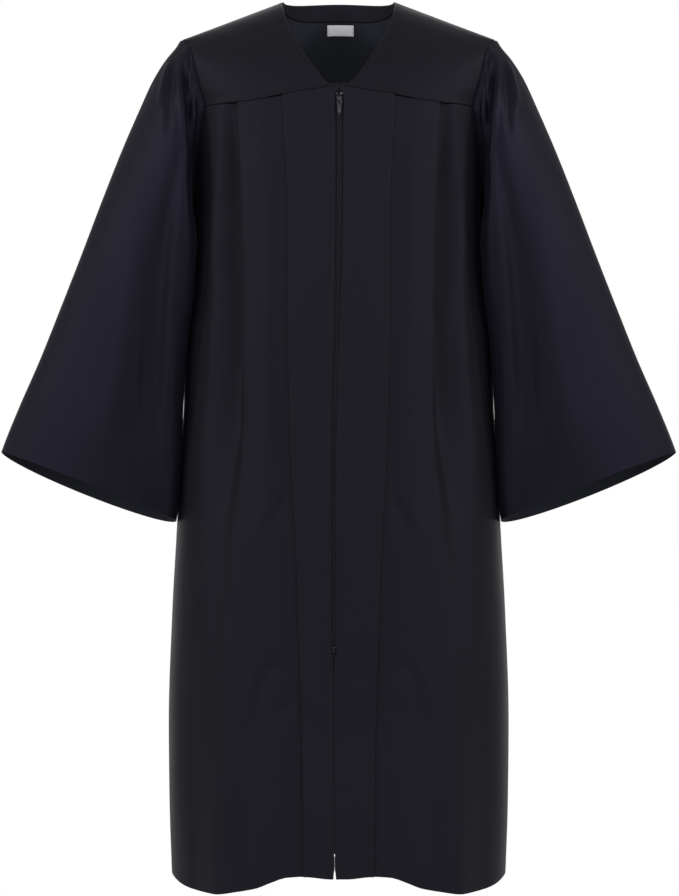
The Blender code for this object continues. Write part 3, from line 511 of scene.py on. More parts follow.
@dataclass(frozen=True)
class Crease:
    """A soft trough or ridge along a line seen from the front or the back.

    Attributes:
        line: (across, drop) points in millimetres, for the wearer's left.
        width: how far the crease reaches to each side.
        depth: how far out it stands; a trough is negative.
        fade: share of the line's length over which each end dies out.
    """

    line: Tuple[Tuple[float, float], ...]
    width: float
    depth: float
    fade: float = 0.3

    def lift(self, across: np.ndarray, drop: np.ndarray) -> np.ndarray:
        """Height of the crease at places on the cloth.

        Args:
            across: distances from the centre line.
            drop: drops of the same places.

        Returns:
            How far out the cloth moves there.
        """
        points = np.array(self.line)
        steps = np.diff(points, axis=0)
        sizes = np.linalg.norm(steps, axis=1)
        runs = np.concatenate([[0], np.cumsum(sizes)])
        best = np.full(across.shape, 1e9)
        where = np.zeros(across.shape)
        for start, step, size, run in zip(points[:-1], steps, sizes, runs):
            along = ((across - start[0]) * step[0] + (drop - start[1]) * step[1]) / size ** 2
            along = np.clip(along, 0, 1)
            away = np.hypot(across - start[0] - along * step[0], drop - start[1] - along * step[1])
            closer = away < best
            best = np.where(closer, away, best)
            where = np.where(closer, (run + along * size) / runs[-1], where)
        ends = ease(where / self.fade) * ease((1 - where) / self.fade)
        return self.depth * np.exp(-(best / self.width) ** 2) * ends


def normals_of(grid: np.ndarray, closed: bool = False) -> np.ndarray:
    """Unit normals of a grid, pointing to the cloth's right side.

    Args:
        grid: rows by columns of points.
        closed: whether the last column meets the first.

    Returns:
        An array of the same shape.
    """
    if closed:
        across = np.roll(grid, -1, axis=1) - np.roll(grid, 1, axis=1)
    else:
        across = np.gradient(grid, axis=1)
    down = np.gradient(grid, axis=0)
    normal = np.cross(down, across)
    return normal / np.maximum(np.linalg.norm(normal, axis=2, keepdims=True), 1e-9)


def roll_depth(distance: np.ndarray, radius: float) -> np.ndarray:
    """How far cloth turns in near a seam, as a quarter round of that radius.

    Args:
        distance: distances from the seam.
        radius: the radius.

    Returns:
        The lifts, zero or negative.
    """
    near = np.clip(1 - distance / radius, 0, 1)
    return -radius * (1 - np.sqrt(1 - near ** 2 * 0.9))


def turned_edge(distance: np.ndarray, stitch: float = 4.0, roll: float = 0.7) -> np.ndarray:
    """Height of an edge that is turned under and stitched down along a line.

    Args:
        distance: distances from the edge.
        stitch: the stitches' distance from the edge.
        roll: the radius that the edge turns in by.

    Returns:
        A low ridge beside the edge, with a groove at the stitches.
    """
    ridge = 0.6 * np.exp(-((distance - stitch * 0.5) / (stitch * 0.32)) ** 2)
    return ridge - 0.42 * np.exp(-((distance - stitch) / 1.0) ** 2) + roll_depth(distance, roll)


@dataclass
class Panel:
    """One cut piece of cloth.

    Attributes:
        name: the solid that it stands for.
        points: rows by columns of points in millimetres, for the wearer's left.
        finish: its cloth.
        hand: which side of the gown it is on.
        inside: the look of the cloth's wrong side, lighter than the outside as painted light for the shaded inside.
        thickness: the cloth's thickness.
        closed: whether its last column meets its first.
        held: how the sheet is held; not used.
        rests_on: what it is held by; not used.
    """

    name: str
    points: np.ndarray
    finish: "ClothFinish"
    hand: Hand = Hand.LEFT
    inside: Optional["ClothFinish"] = None
    thickness: float = 0.55
    closed: bool = False
    held: str = "hung"
    rests_on: Tuple[str, ...] = ()
    thing: Optional[bpy.types.Object] = field(default=None, init=False)
    size: Tuple[float, float] = field(default=(0.0, 0.0), init=False)
    area: float = field(default=0.0, init=False)

    def build(self) -> "Panel":
        """Make the sheet, its cloth coordinates and its thickness.

        Returns:
            The panel itself.
        """
        points = self.points
        outward = normals_of(points, self.closed)
        if self.closed:
            points = np.concatenate([points, points[:, :1]], axis=1)
            outward = np.concatenate([outward, outward[:, :1]], axis=1)
        across = runs_of(points, 1)
        down = runs_of(points, 0)
        mirror = np.array([float(self.hand.value), 1.0, 1.0])
        points, outward = points * mirror, outward * mirror
        rows, columns = points.shape[:2]
        mesh = bmesh.new()
        bmesh.ops.create_grid(mesh, x_segments=columns - 1, y_segments=rows - 1, size=1.0)
        layer = mesh.loops.layers.uv.new("cloth")
        places = {}
        for vert in mesh.verts:
            column = round((vert.co.x + 1) / 2 * (columns - 1))
            row = round((1 - vert.co.y) / 2 * (rows - 1))
            places[vert.index] = (row, column)
            vert.co = points[row, column] * MM
        for face in mesh.faces:
            for loop in face.loops:
                row, column = places[loop.vert.index]
                loop[layer].uv = (across[row, column] * MM, -down[row, column] * MM)
        mesh.normal_update()
        agree = sum(
            face.normal.dot(Vector(outward[places[face.verts[0].index]])) for face in mesh.faces
        )
        if agree < 0:
            bmesh.ops.reverse_faces(mesh, faces=mesh.faces)
        if self.closed:
            bmesh.ops.remove_doubles(mesh, verts=mesh.verts, dist=0.00001)
        self.area = sum(face.calc_area() for face in mesh.faces)
        self.size = (float(across.max()) * MM, float(down.max()) * MM)
        self.thing = finish_mesh(self.name + "_cloth", mesh, self.finish.material())
        solidify = self.thing.modifiers.new("thickness", "SOLIDIFY")
        solidify.thickness = self.thickness * MM
        solidify.offset = -1.0
        solidify.use_even_offset = False
        # The inner faces take the inside finish, whose lighter colour is painted light for the shaded inside.
        if self.inside:
            self.thing.data.materials.append(self.inside.material())
            solidify.material_offset = 1
        LOG.info("%s: %.3f x %.3f m, %.4f m2", self.name, *self.size, self.area)
        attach(self.thing, GOWN)
        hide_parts(self.name)
        return self

    def declare(self, trims: Sequence[bpy.types.Object] = ()) -> None:
        """Args:
            trims: the pieces that are sewn to it; not used.
        """

    def line(self, across: Optional[float] = None, down: Optional[float] = None) -> Tuple[np.ndarray, np.ndarray]:
        """A line on the cloth at a fixed distance from one of its edges.

        Args:
            across: the distance from the first column, or from the last one if negative.
            down: the distance from the first row, or from the last one if negative.

        Returns:
            The line's points and the normals there.
        """
        points, outward = self.points, normals_of(self.points, self.closed)
        if down is not None:
            points, outward = points.swapaxes(0, 1), outward.swapaxes(0, 1)
            across = down
        mirror = np.array([float(self.hand.value), 1.0, 1.0])
        lines = []
        for grid in (points, outward):
            row_points = []
            for base, values in zip(points, grid):
                run = np.concatenate([[0], np.cumsum(np.linalg.norm(np.diff(base, axis=0), axis=1))])
                place = across if across >= 0 else run[-1] + across
                row_points.append([np.interp(place, run, values[:, k]) for k in range(3)])
            lines.append(np.array(row_points) * mirror)
        return lines[0], lines[1]


def runs_of(points: np.ndarray, axis: int) -> np.ndarray:
    """Distances along a grid from its first column or row.

    Args:
        points: rows by columns of points.
        axis: 0 to go down the rows, 1 to go across the columns.

    Returns:
        The distances, rows by columns.
    """
    steps = np.linalg.norm(np.diff(points, axis=axis), axis=2)
    zeros = np.zeros_like(np.take(steps, [0], axis=axis))
    return np.cumsum(np.concatenate([zeros, steps], axis=axis), axis=axis)


def finish_mesh(name: str, mesh: bmesh.types.BMesh, material: bpy.types.Material) -> bpy.types.Object:
    """Turn a bmesh into a smooth object with a material.

    Args:
        name: the object's name.
        mesh: the mesh, freed here.
        material: its finish.

    Returns:
        The object, linked to the scene.
    """
    data = bpy.data.meshes.new(name)
    mesh.to_mesh(data)
    mesh.free()
    thing = bpy.data.objects.new(name, data)
    bpy.context.scene.collection.objects.link(thing)
    data.materials.append(material)
    data.shade_smooth()
    return thing


class Nodes:
    """A short hand for building a material's nodes."""

    def __init__(self, name: str) -> None:
        """Start a material with its shader.

        Args:
            name: the material's name.
        """
        self.material = bpy.data.materials.new(name)
        self.material.use_nodes = True
        self.tree = self.material.node_tree
        self.shader = self.tree.nodes["Principled BSDF"]

    def add(
        self, kind: str, inputs: Optional[dict] = None, **settings: object
    ) -> bpy.types.Node:
        """Add a node, set its properties and its inputs, and return it.

        Args:
            kind: the node's type.
            inputs: values or links by the input's name or number.
            settings: the node's own properties.

        Returns:
            The node.
        """
        node = self.tree.nodes.new(kind)
        for key, value in settings.items():
            setattr(node, key, value)
        for key, value in (inputs or {}).items():
            self.put(node.inputs[key], value)
        return node

    def put(self, socket: Socket, value: Input) -> None:
        """Link an output to a socket, or set the socket's value.

        Args:
            socket: the input.
            value: an output or a value.
        """
        if isinstance(value, bpy.types.NodeSocket):
            self.tree.links.new(value, socket)
        else:
            socket.default_value = value

    def math(
        self, operation: str, first: Input, second: Input = 0.0, third: Input = 0.0
    ) -> Socket:
        """One math node's output.

        Args:
            operation: what it works out.
            first: its first input.
            second: its second input.
            third: its third input.

        Returns:
            The output.
        """
        node = self.add("ShaderNodeMath", operation=operation)
        for socket, value in zip(node.inputs, (first, second, third)):
            self.put(socket, value)
        return node.outputs[0]

    def scaled(self, vector: Socket, scale: Tuple[float, float, float]) -> Socket:
        """A vector times a scale."""
        node = self.add("ShaderNodeVectorMath", {0: vector, 1: scale}, operation="MULTIPLY")
        return node.outputs[0]

    def noise(
        self, vector: Socket, scale: float, detail: float = 3.0, roughness: float = 0.5
    ) -> Socket:
        """A noise texture's value.

        Args:
            vector: where it is read.
            scale: how fine it is.
            detail: its octaves.
            roughness: how strong the fine octaves are.

        Returns:
            The output.
        """
        node = self.add(
            "ShaderNodeTexNoise",
            {"Vector": vector, "Scale": scale, "Detail": detail, "Roughness": roughness},
        )
        return node.outputs[0]

    def ramp(self, value: Socket, low: Sequence[float], high: Sequence[float]) -> Socket:
        """A colour between two colours.

        Args:
            value: the share.
            low: the colour at 0.
            high: the colour at 1.

        Returns:
            The colour's output.
        """
        node = self.add("ShaderNodeMix", data_type="RGBA")
        self.put(node.inputs[0], value)
        node.inputs[6].default_value = (*low, 1.0)
        node.inputs[7].default_value = (*high, 1.0)
        return node.outputs[2]


@dataclass(frozen=True)
class ClothFinish:
    """A woven cloth.

    Attributes:
        name: the material's name.
        slot: the record's slot; not used.
        dark: the colour of its darker threads.
        light: the colour of its lighter threads.
        thread: the pitch of its threads in millimetres.
        sheen: how strongly it lights up at a slant.
        tint: the sheen's colour.
        roughness: how dull it is.
        relief: how far its threads stand up.
    """

    name: str
    slot: str
    dark: Tuple[float, float, float]
    light: Tuple[float, float, float]
    thread: float = 0.42
    sheen: float = 0.008
    tint: Tuple[float, float, float] = (0.8, 0.78, 1.0)
    roughness: float = 0.6
    relief: float = 0.12
    specular: float = 0.14

    def material(self) -> bpy.types.Material:
        """The cloth's material, made once.

        Returns:
            The material.
        """
        known = bpy.data.materials.get(self.name)
        if known:
            return known
        nodes = Nodes(self.name)
        cloth = nodes.add("ShaderNodeUVMap", uv_map="cloth").outputs[0]
        split = nodes.add("ShaderNodeSeparateXYZ", {0: cloth})
        pitch = math.tau / (self.thread * MM)
        warp = nodes.math("SINE", nodes.math("MULTIPLY", split.outputs[0], pitch))
        weft = nodes.math("SINE", nodes.math("MULTIPLY", split.outputs[1], pitch))
        weave = nodes.math("MULTIPLY", warp, weft)
        slub = nodes.noise(nodes.scaled(cloth, (2600.0, 160.0, 1.0)), 1.0, 2.0)
        slub_across = nodes.noise(nodes.scaled(cloth, (160.0, 2600.0, 1.0)), 1.0, 2.0)
        threads = nodes.math("MULTIPLY_ADD", weave, 0.25, nodes.math("ADD", slub, slub_across))
        where = nodes.add("ShaderNodeTexCoord").outputs["Object"]
        broad = nodes.noise(where, 9.0, 3.0)
        fuzz = nodes.noise(where, 900.0, 2.0, 0.7)
        tone = nodes.math("MULTIPLY_ADD", threads, 0.22, nodes.math("MULTIPLY", broad, 0.6))
        nodes.put(nodes.shader.inputs["Base Color"], nodes.ramp(tone, self.dark, self.light))
        rough = nodes.math("MULTIPLY_ADD", nodes.math("SUBTRACT", fuzz, 0.5), 0.12, self.roughness)
        rough = nodes.math("MULTIPLY_ADD", nodes.math("SUBTRACT", broad, 0.5), 0.15, rough)
        nodes.put(nodes.shader.inputs["Roughness"], rough)
        nodes.shader.inputs["Specular IOR Level"].default_value = self.specular
        nodes.shader.inputs["Specular Tint"].default_value = (*self.tint, 1.0)
        nodes.shader.inputs["Sheen Weight"].default_value = self.sheen
        nodes.shader.inputs["Sheen Roughness"].default_value = 0.4
        nodes.shader.inputs["Sheen Tint"].default_value = (*self.tint, 1.0)
        drape = nodes.noise(nodes.scaled(where, (30.0, 30.0, 9.0)), 1.0, 3.0)
        soft = nodes.add(
            "ShaderNodeBump", {"Strength": 0.35, "Distance": 0.0012, "Height": drape}
        )
        fine = nodes.add(
            "ShaderNodeBump",
            {"Strength": self.relief, "Distance": 0.0002, "Height": threads, "Normal": soft.outputs[0]},
        )
        nodes.put(nodes.shader.inputs["Normal"], fine.outputs[0])
        return nodes.material


@dataclass(frozen=True)
class HardFinish:
    """Thread, nylon or enamelled metal.

    Attributes:
        name: the material's name.
        dark: its main colour.
        worn: the colour where it is rubbed.
        metallic: how metallic it is.
        roughness: how dull it is.
        grain: the size of its grain, as a scale for a noise.
        relief: how far the grain stands up.
    """

    name: str
    dark: Tuple[float, float, float]
    worn: Tuple[float, float, float]
    metallic: float = 0.0
    roughness: float = 0.45
    grain: float = 2500.0
    relief: float = 0.1
    specular: float = 0.4

    def material(self) -> bpy.types.Material:
        """The material, made once.

        Returns:
            The material.
        """
        known = bpy.data.materials.get(self.name)
        if known:
            return known
        nodes = Nodes(self.name)
        where = nodes.add("ShaderNodeTexCoord").outputs["Object"]
        fine = nodes.noise(where, self.grain, 3.0, 0.6)
        broad = nodes.noise(where, self.grain * 0.12, 2.0)
        wear = nodes.math("MULTIPLY", nodes.math("SUBTRACT", nodes.math("ADD", fine, broad), 1.0), 3.0)
        wear = nodes.math("MAXIMUM", nodes.math("MINIMUM", wear, 1.0), 0.0)
        nodes.put(nodes.shader.inputs["Base Color"], nodes.ramp(wear, self.dark, self.worn))
        nodes.put(nodes.shader.inputs["Roughness"], nodes.math("MULTIPLY_ADD", fine, 0.2, self.roughness - 0.1))
        nodes.shader.inputs["Metallic"].default_value = self.metallic
        nodes.shader.inputs["Specular IOR Level"].default_value = self.specular
        bump = nodes.add("ShaderNodeBump", {"Strength": self.relief, "Distance": 0.0001, "Height": fine})
        nodes.put(nodes.shader.inputs["Normal"], bump.outputs[0])
        return nodes.material


BLACK = (0.0042, 0.0039, 0.0058)
BLACK_LIGHT = (0.0086, 0.0080, 0.0118)
GOWN_CLOTH = ClothFinish("gown_weave", "gown_cloth", BLACK, BLACK_LIGHT)
SLEEVE_CLOTH = ClothFinish(
    "sleeve_weave", "gown_cloth", (0.0044, 0.0040, 0.0060), (0.0088, 0.0080, 0.0122), sheen=0.02,
    tint=(0.64, 0.58, 1.0), roughness=0.5, specular=0.13,
)
# Neck band: the gown's black cloth made about twice as light, as painted light for its shaded place inside the neck.
BAND_CLOTH_PAINTED_LIGHT = ClothFinish("band_weave_painted_light", "gown_cloth", (0.0105, 0.0100, 0.0140), (0.018, 0.0170, 0.0235))
# Wrong side of the gown cloth: a teal-black tone of its own, made about four times lighter than the outside as
# painted light for the shaded inside of the gown.
INSIDE_CLOTH_PAINTED_LIGHT = ClothFinish(
    "inside_weave_painted_light", "gown_cloth", (0.0180, 0.0200, 0.0262), (0.0290, 0.0325, 0.0420), sheen=0.005,
    specular=0.08, roughness=0.75,
)
LABEL_CLOTH = ClothFinish(
    "label_weave", "label_cloth", (0.90, 0.88, 0.97), (1.0, 0.98, 1.0), thread=0.3,
    sheen=0.05, tint=(1.0, 1.0, 1.0), roughness=0.45, relief=0.4,
)
# Zip tape: black cloth made lighter than the gown cloth, as painted light for its shaded place behind the fronts.
TAPE_CLOTH_PAINTED_LIGHT = ClothFinish(
    "tape_weave_painted_light", "zip_tape", (0.008, 0.0078, 0.0102), (0.0165, 0.016, 0.0205), thread=0.6,
    sheen=0.005, roughness=0.7, relief=0.5,
)
THREAD = HardFinish("sewing_thread", (0.006, 0.0058, 0.0075), (0.018, 0.017, 0.022), roughness=0.5, specular=0.2)
# Coil: black nylon made several times lighter than the gown cloth, as painted light for the shaded chain between the
# fronts; its rubbed colour is random wear.
NYLON_PAINTED_LIGHT = HardFinish("zip_nylon_painted_light", (0.018, 0.0176, 0.0215), (0.038, 0.037, 0.044), roughness=0.35, specular=0.3)
ENAMEL = HardFinish(
    "zip_enamel", (0.012, 0.012, 0.014), (0.10, 0.10, 0.11), metallic=0.7, roughness=0.16, grain=900.0,
    specular=0.5,
)


def edge_steps(length: float, step: float, near: Sequence[float] = (0.4, 1.0, 2.0, 3.4)) -> np.ndarray:
    """Places along a length: even steps with a few close together at both ends.

    Args:
        length: the whole length.
        step: the even step.
        near: the places close to an end.

    Returns:
        The places in order.
    """
    inner = np.linspace(near[-1], length - near[-1], max(2, int(length / step)))
    ends = np.array([0.0, *near[:-1]])
    return np.concatenate([ends, inner, length - ends[::-1]])


class FrontPath:
    """The way of the cloth across one front at each height."""

    LAP = 20.0
    FOLD = 0.75
    OPEN_SPREAD = 24.0
    EDGE = (0.0, 0.4, 1.0, 2.0, 3.2, 4.4, 5.5, 6.6, 8.5)
    BEFORE_FOLD = (11.0, 8.0, 6.4, 5.2, 4.0, 2.8, 2.0, 1.2, 0.4)
    FLAT_COLUMNS = 9
    ZIP_STITCH = 6
    PLEAT_STITCH = 22
    PLEAT_END = 44

    def __init__(self, hand: Hand) -> None:
        """Keep the hand.

        Args:
            hand: which front it is.
        """
        self.hand = hand

    def pleat(self, edge: Numbers, fall: Numbers, opened: Numbers) -> Tuple[List, List]:
        """Places and lifts over one knife pleat, folded or opened to a soft wave.

        Args:
            edge: the folded edge's place.
            fall: how far the cloth beside it lies behind.
            opened: 0 where the pleat is pressed, 1 where it is open.

        Returns:
            Two lists of arrays, places and lifts.
        """
        fold = self.FOLD
        start = edge - fold
        none = 0.0 * fall
        pressed = [(start, none)]
        for angle in (30, 60, 90, 120, 150):
            turn = math.radians(angle)
            pressed.append((start + fold * math.sin(turn), -fold * (1 - math.cos(turn)) + none))
        under = np.minimum(-fall, -2 * fold - 1.1)
        pressed += [
            (start, -2 * fold + none),
            (edge - self.LAP * 0.5, -2 * fold - 0.1 + none),
            (edge - self.LAP, -2 * fold - 0.3 + none),
            (edge - self.LAP - 0.4, mix(-2 * fold - 0.3, under, 0.5)),
            (edge - self.LAP, under),
            (edge - self.LAP * 0.5, under),
        ]
        pressed += [(edge + reach, under) for reach in (-2.5, 0.5, 2.5, 5.0, 8.0)]
        count = len(pressed) - 1
        places, lifts = [], []
        for i, (place, lift) in enumerate(pressed):
            share = i / count
            places.append(mix(place, start + self.OPEN_SPREAD * share, opened))
            lifts.append(mix(lift, -fall * ease(share), opened))
        return places, lifts

    def at(self, drop: np.ndarray) -> Tuple[np.ndarray, np.ndarray]:
        """Places along the cloth and lifts at each height.

        Args:
            drop: the heights, one for each row.

        Returns:
            Two arrays, rows by columns.
        """
        line = {name: FRONT_LINES.read(name, drop) for name in FRONT_LINES.names[1:]}
        gap = CLOSING.read("gap", drop)
        start = BODY_FORM.length_at(Side.FRONT, drop, self.hand.value * line["opening"] + gap / 2)
        band = BODY_FORM.length_at(Side.FRONT, drop, line["band"])
        outer = BODY_FORM.length_at(Side.FRONT, drop, line["outer"])
        end = BODY_FORM.edge(Side.FRONT, np.maximum(drop, FRONT_CORNER_DROP))
        inner_places, inner_lifts = self.pleat(band, line["band_fall"], 0.0 * band)
        opened = OUTER_OPEN.read("open", drop)
        outer_places, outer_lifts = self.pleat(outer, OUTER_OPEN.read("fall", drop), opened)
        fold = inner_places[0]
        places = [start + reach for reach in self.EDGE]
        lifts = [turned_edge(0 * start + reach, self.EDGE[self.ZIP_STITCH]) for reach in self.EDGE]
        shares = np.linspace(0, 1, self.FLAT_COLUMNS + 2)[1:-1]
        places += [mix(start + self.EDGE[-1], fold - self.BEFORE_FOLD[0], share) for share in shares]
        lifts += [0 * start for _ in shares]
        places += [fold - reach for reach in self.BEFORE_FOLD]
        lifts += [turned_edge(0 * start + reach, 4.0, 0.01) for reach in self.BEFORE_FOLD]
        places += inner_places
        lifts += inner_lifts
        for share in np.linspace(0.08, 0.95, 12):
            places.append(mix(inner_places[-1], outer_places[0], share))
            lifts.append(inner_lifts[-1] * (1 - ease(share * 2.4)))
        places += outer_places
        lifts += outer_lifts
        for share in (*np.linspace(0.04, 0.96, 26), 0.985, 0.995, 1.0):
            places.append(mix(outer_places[-1], end, share))
            lifts.append(outer_lifts[-1] * (1 - ease(share * 3.0)))
        place, lift = np.stack(places, axis=1), np.stack(lifts, axis=1)
        away = np.abs(place - BODY_FORM.length_at(Side.FRONT, drop, 148.0)[:, None]) / 46.0
        return place, lift + line["belly"][:, None] * (1 - ease(away))


OUTER_OPEN = Table("drop open fall", (
    (125, 0.0, 1.8),
    (150, 0.0, 5.0),
    (185, 0.0, 11.0),
    (240, 0.0, 17.0),
    (390, 0.05, 18.5),
    (460, 0.3, 18.0),
    (530, 0.7, 15.0),
    (610, 1.0, 10.0),
    (690, 1.0, 6.5),
    (828, 1.0, 4.0),
    (1125, 1.0, 3.0),
))
FRONT_CREASES = (
    Crease(((122, 470), (124, 545), (129, 600), (146, 655)), 13, -4.0, 0.35),
    Crease(((153, 250), (154, 330), (152, 430)), 9, 2.2, 0.4),
    Crease(((138, 330), (139, 420), (141, 520)), 8, 1.8, 0.4),
    Crease(((170, 300), (172, 420), (174, 560)), 11, -2.4, 0.4),
    Crease(((166, 620), (172, 760), (176, 960)), 16, 3.0, 0.4),
    Crease(((89, 690), (86, 668), (82, 652), (74, 641), (60, 634)), 6, -3.2, 0.25),
    Crease(((98, 700), (95, 668), (90, 648), (80, 632)), 8, 2.0, 0.35),
    Crease(((101, 925), (100, 872), (96, 856), (88, 846), (66, 834)), 6, -3.2, 0.2),
    Crease(((111, 930), (110, 872), (103, 846), (92, 832)), 9, 2.2, 0.35),
    Crease(((90, 904), (70, 893), (50, 886)), 5, -2.0, 0.3),
    Crease(((92, 1000), (96, 1060), (104, 1120)), 14, 2.6, 0.4),
)
FRONT_CREASES_RIGHT = (
    Crease(((121, 480), (124, 560), (131, 610), (144, 668)), 13, -4.2, 0.35),
    Crease(((152, 240), (154, 320), (150, 440)), 9, 2.6, 0.4),
    Crease(((139, 340), (139, 430), (142, 530)), 8, 1.6, 0.4),
    Crease(((171, 310), (173, 430), (175, 570)), 11, -2.6, 0.4),
    Crease(((165, 640), (171, 780), (175, 980)), 16, 3.2, 0.4),
    Crease(((89, 686), (87, 664), (82, 652), (74, 642), (61, 635)), 6, -3.4, 0.25),
    Crease(((97, 700), (94, 666), (89, 648), (79, 632)), 8, 2.2, 0.35),
    Crease(((101, 922), (99, 871), (96, 857), (88, 846), (66, 834)), 6, -3.6, 0.2),
    Crease(((110, 930), (109, 870), (102, 846), (91, 832)), 9, 2.4, 0.35),
    Crease(((88, 902), (70, 893), (51, 885)), 5, -2.4, 0.3),
    Crease(((94, 1000), (98, 1060), (106, 1120)), 14, 2.6, 0.4),
)


class Fronts:
    """Both fronts, with centre bands, pleats and drag lines."""

    ROW_STEP = 7.0
    TOP = 130.0
    TUCK = 3.0

    def points(self, hand: Hand) -> np.ndarray:
        """Points of one front, with its seam allowances at the top and the side.

        Args:
            hand: which front it is.

        Returns:
            Rows by columns of points.
        """
        length = HEM_DROP - self.TOP
        nominal = self.TOP + edge_steps(length, self.ROW_STEP)
        nominal = np.union1d(nominal, np.concatenate([np.arange(135, 148, 1.5), np.arange(1070, 1110, 2.5)]))
        place, lift = FrontPath(hand).at(nominal)
        level = nominal[:, None]
        across = BODY_FORM.points(Side.FRONT, level, place)[..., 0]
        seam = YOKE_SEAM.read("drop", across)
        drop = mix(seam, level, np.clip((level - self.TOP) / (165.0 - self.TOP), 0, 1))
        hem = FRONT_HEM.read("drop", across) - HEM_DROP
        drop = drop + hem * ease((level - HEM_SHAPED_FROM) / (HEM_DROP - HEM_SHAPED_FROM))
        creases = FRONT_CREASES if hand is Hand.LEFT else FRONT_CREASES_RIGHT
        soft = sum(crease.lift(across, drop) for crease in creases)
        beside = np.arange(place.shape[1]) >= FrontPath.PLEAT_END
        lift = lift + np.where(beside[None, :], soft, soft * 0.15)
        lift = lift + roll_depth(drop - seam, 2.4)
        armhole = (place[:, -1:] - place) + np.where(level > UNDERARM_DROP, 99.0, 0.0)
        lift = lift + roll_depth(armhole, 1.6) + roll_depth(place[:, -1:] - place, 0.3)
        points = BODY_FORM.points(Side.FRONT, drop, place, lift)
        points[..., 1] = np.minimum(points[..., 1], -CENTRE_GAP)
        top = BODY_FORM.points(Side.FRONT, drop[:1] - self.TUCK, place[:1], lift[:1] - 0.4)
        points = np.concatenate([top, points])
        below = ease((-points[:, -1, 2] - UNDERARM_DROP + 2) / 8)
        side = points[:, -1] + np.stack([-0.5 - 1.0 * below, 2.6 * below, 0 * below], axis=-1)
        return np.concatenate([points, side[:, None]], axis=1)

    def dress(self) -> None:
        """Build both fronts and their stitches."""
        for hand in Hand:
            word = hand.name.lower()
            panel = Panel(
                "front_" + word, self.points(hand), GOWN_CLOTH, hand, INSIDE_CLOTH_PAINTED_LIGHT,
                rests_on=("yoke_front_" + word,),
            ).build()
            stitches = Stitches("topstitch_front_" + word)
            outward = normals_of(panel.points)
            mirror = np.array([float(hand.value), 1.0, 1.0])
            for column in (FrontPath.ZIP_STITCH, FrontPath.PLEAT_STITCH):
                stitches.row(panel.points[2:-1, column] * mirror, outward[2:-1, column] * mirror)
            stitches.row(*trimmed(panel.line(down=-12.0), 0, -1))
            panel.declare([stitches.build()])


class BackPanel:
    """The back, gathered into the yoke."""

    GATHERS = 14
    STEPS = 12
    EDGE_COLUMNS = 18

    def lift(self, drop: np.ndarray, share: np.ndarray) -> np.ndarray:
        """Depth of the gathers at shares of their reach.

        Args:
            drop: the heights.
            share: the shares of the reach.

        Returns:
            How far out the cloth moves.
        """
        narrow = BACK_FOLDS.read("narrow", drop)
        broad = BACK_FOLDS.read("broad", drop)
        turn = math.pi * self.GATHERS * share
        uneven = 1 + 0.25 * np.sin(2.3 * share * math.pi + 0.7) + 0.15 * np.sin(5.1 * share * math.pi)
        wander = 0.35 * np.sin(9.0 * share + drop / 160.0)
        fine = narrow * (np.cos(turn + wander) - 1)
        drift = 0.5 * np.sin(3 * share + 0.8) * ease((drop - 260) / 600)
        wide = broad * (np.cos(turn / 2 + drift) - np.cos(drift)) / 2
        small = 0.5 * np.cos(2.7 * turn + 1.3) * ease((330 - drop) / 150)
        inside = 1 - ease((np.abs(share) - 0.86) / 0.14)
        return (fine + wide + small) * uneven * inside

    def points(self) -> np.ndarray:
        """Points of the back, from the wearer's left to the right.

        Returns:
            Rows by columns of points.
        """
        nominal = BACK_CORNER_DROP + edge_steps(HEM_DROP - BACK_CORNER_DROP, 8.5)
        level = nominal[:, None]
        reach = BACK_FOLDS.read("reach", nominal)[:, None]
        end = BODY_FORM.edge(Side.BACK, np.maximum(nominal, BACK_CORNER_DROP))[:, None]
        count = self.GATHERS * self.STEPS // 2
        middle = np.arange(count, -count - 1, -1) / count
        side = (np.arange(self.EDGE_COLUMNS) + 1) / self.EDGE_COLUMNS
        side = np.concatenate([side[:-1], [0.99, 1.0]])
        place = np.concatenate([
            mix(reach, end, side[::-1][None, :]), reach * middle[None, :], -mix(reach, end, side[None, :]),
        ], axis=1)
        share = np.concatenate([1 + side[::-1], middle, -1 - side])[None, :]
        lift = self.lift(level, share * np.ones_like(level))
        across = BODY_FORM.points(Side.BACK, level, place)[..., 0]
        seam = back_seam_drop(across)
        top = np.clip((level - BACK_CORNER_DROP) / (195 - BACK_CORNER_DROP), 0, 1)
        drop = mix(seam, np.maximum(level, seam), top)
        lift = lift + roll_depth(drop - seam, 2.4)
        edge = np.minimum(place[:, :1] - place, place - place[:, -1:])
        armhole = edge + np.where(level > UNDERARM_DROP, 99.0, 0.0)
        lift = lift + roll_depth(armhole, 1.6) + roll_depth(edge, 0.3)
        points = BODY_FORM.points(Side.BACK, drop, place, lift)
        points[..., 1] = np.maximum(points[..., 1], CENTRE_GAP)
        row = BODY_FORM.points(Side.BACK, drop[:1] - 3.0, place[:1], lift[:1] - 0.4)
        return np.concatenate([row, points])

    def dress(self) -> None:
        """Build the back and its hem's stitches."""
        panel = Panel(
            "back_panel", self.points(), GOWN_CLOTH, inside=INSIDE_CLOTH_PAINTED_LIGHT, held="gathered",
            rests_on=("yoke_back",),
        ).build()
        stitches = Stitches("hem_stitch_back")
        stitches.row(*panel.line(down=-12.0))
        panel.declare([stitches.build()])


def back_seam_drop(across: Numbers) -> np.ndarray:
    """Height of the back yoke's lower seam, lower at the centre.

    Args:
        across: the distance from the centre line.

    Returns:
        The seam's drop there.
    """
    edge = ARMHOLE.read("half", BACK_CORNER_DROP)
    return BACK_CORNER_DROP + BACK_SEAM_SAG * (1 - np.minimum(np.abs(across) / edge, 1) ** 2)


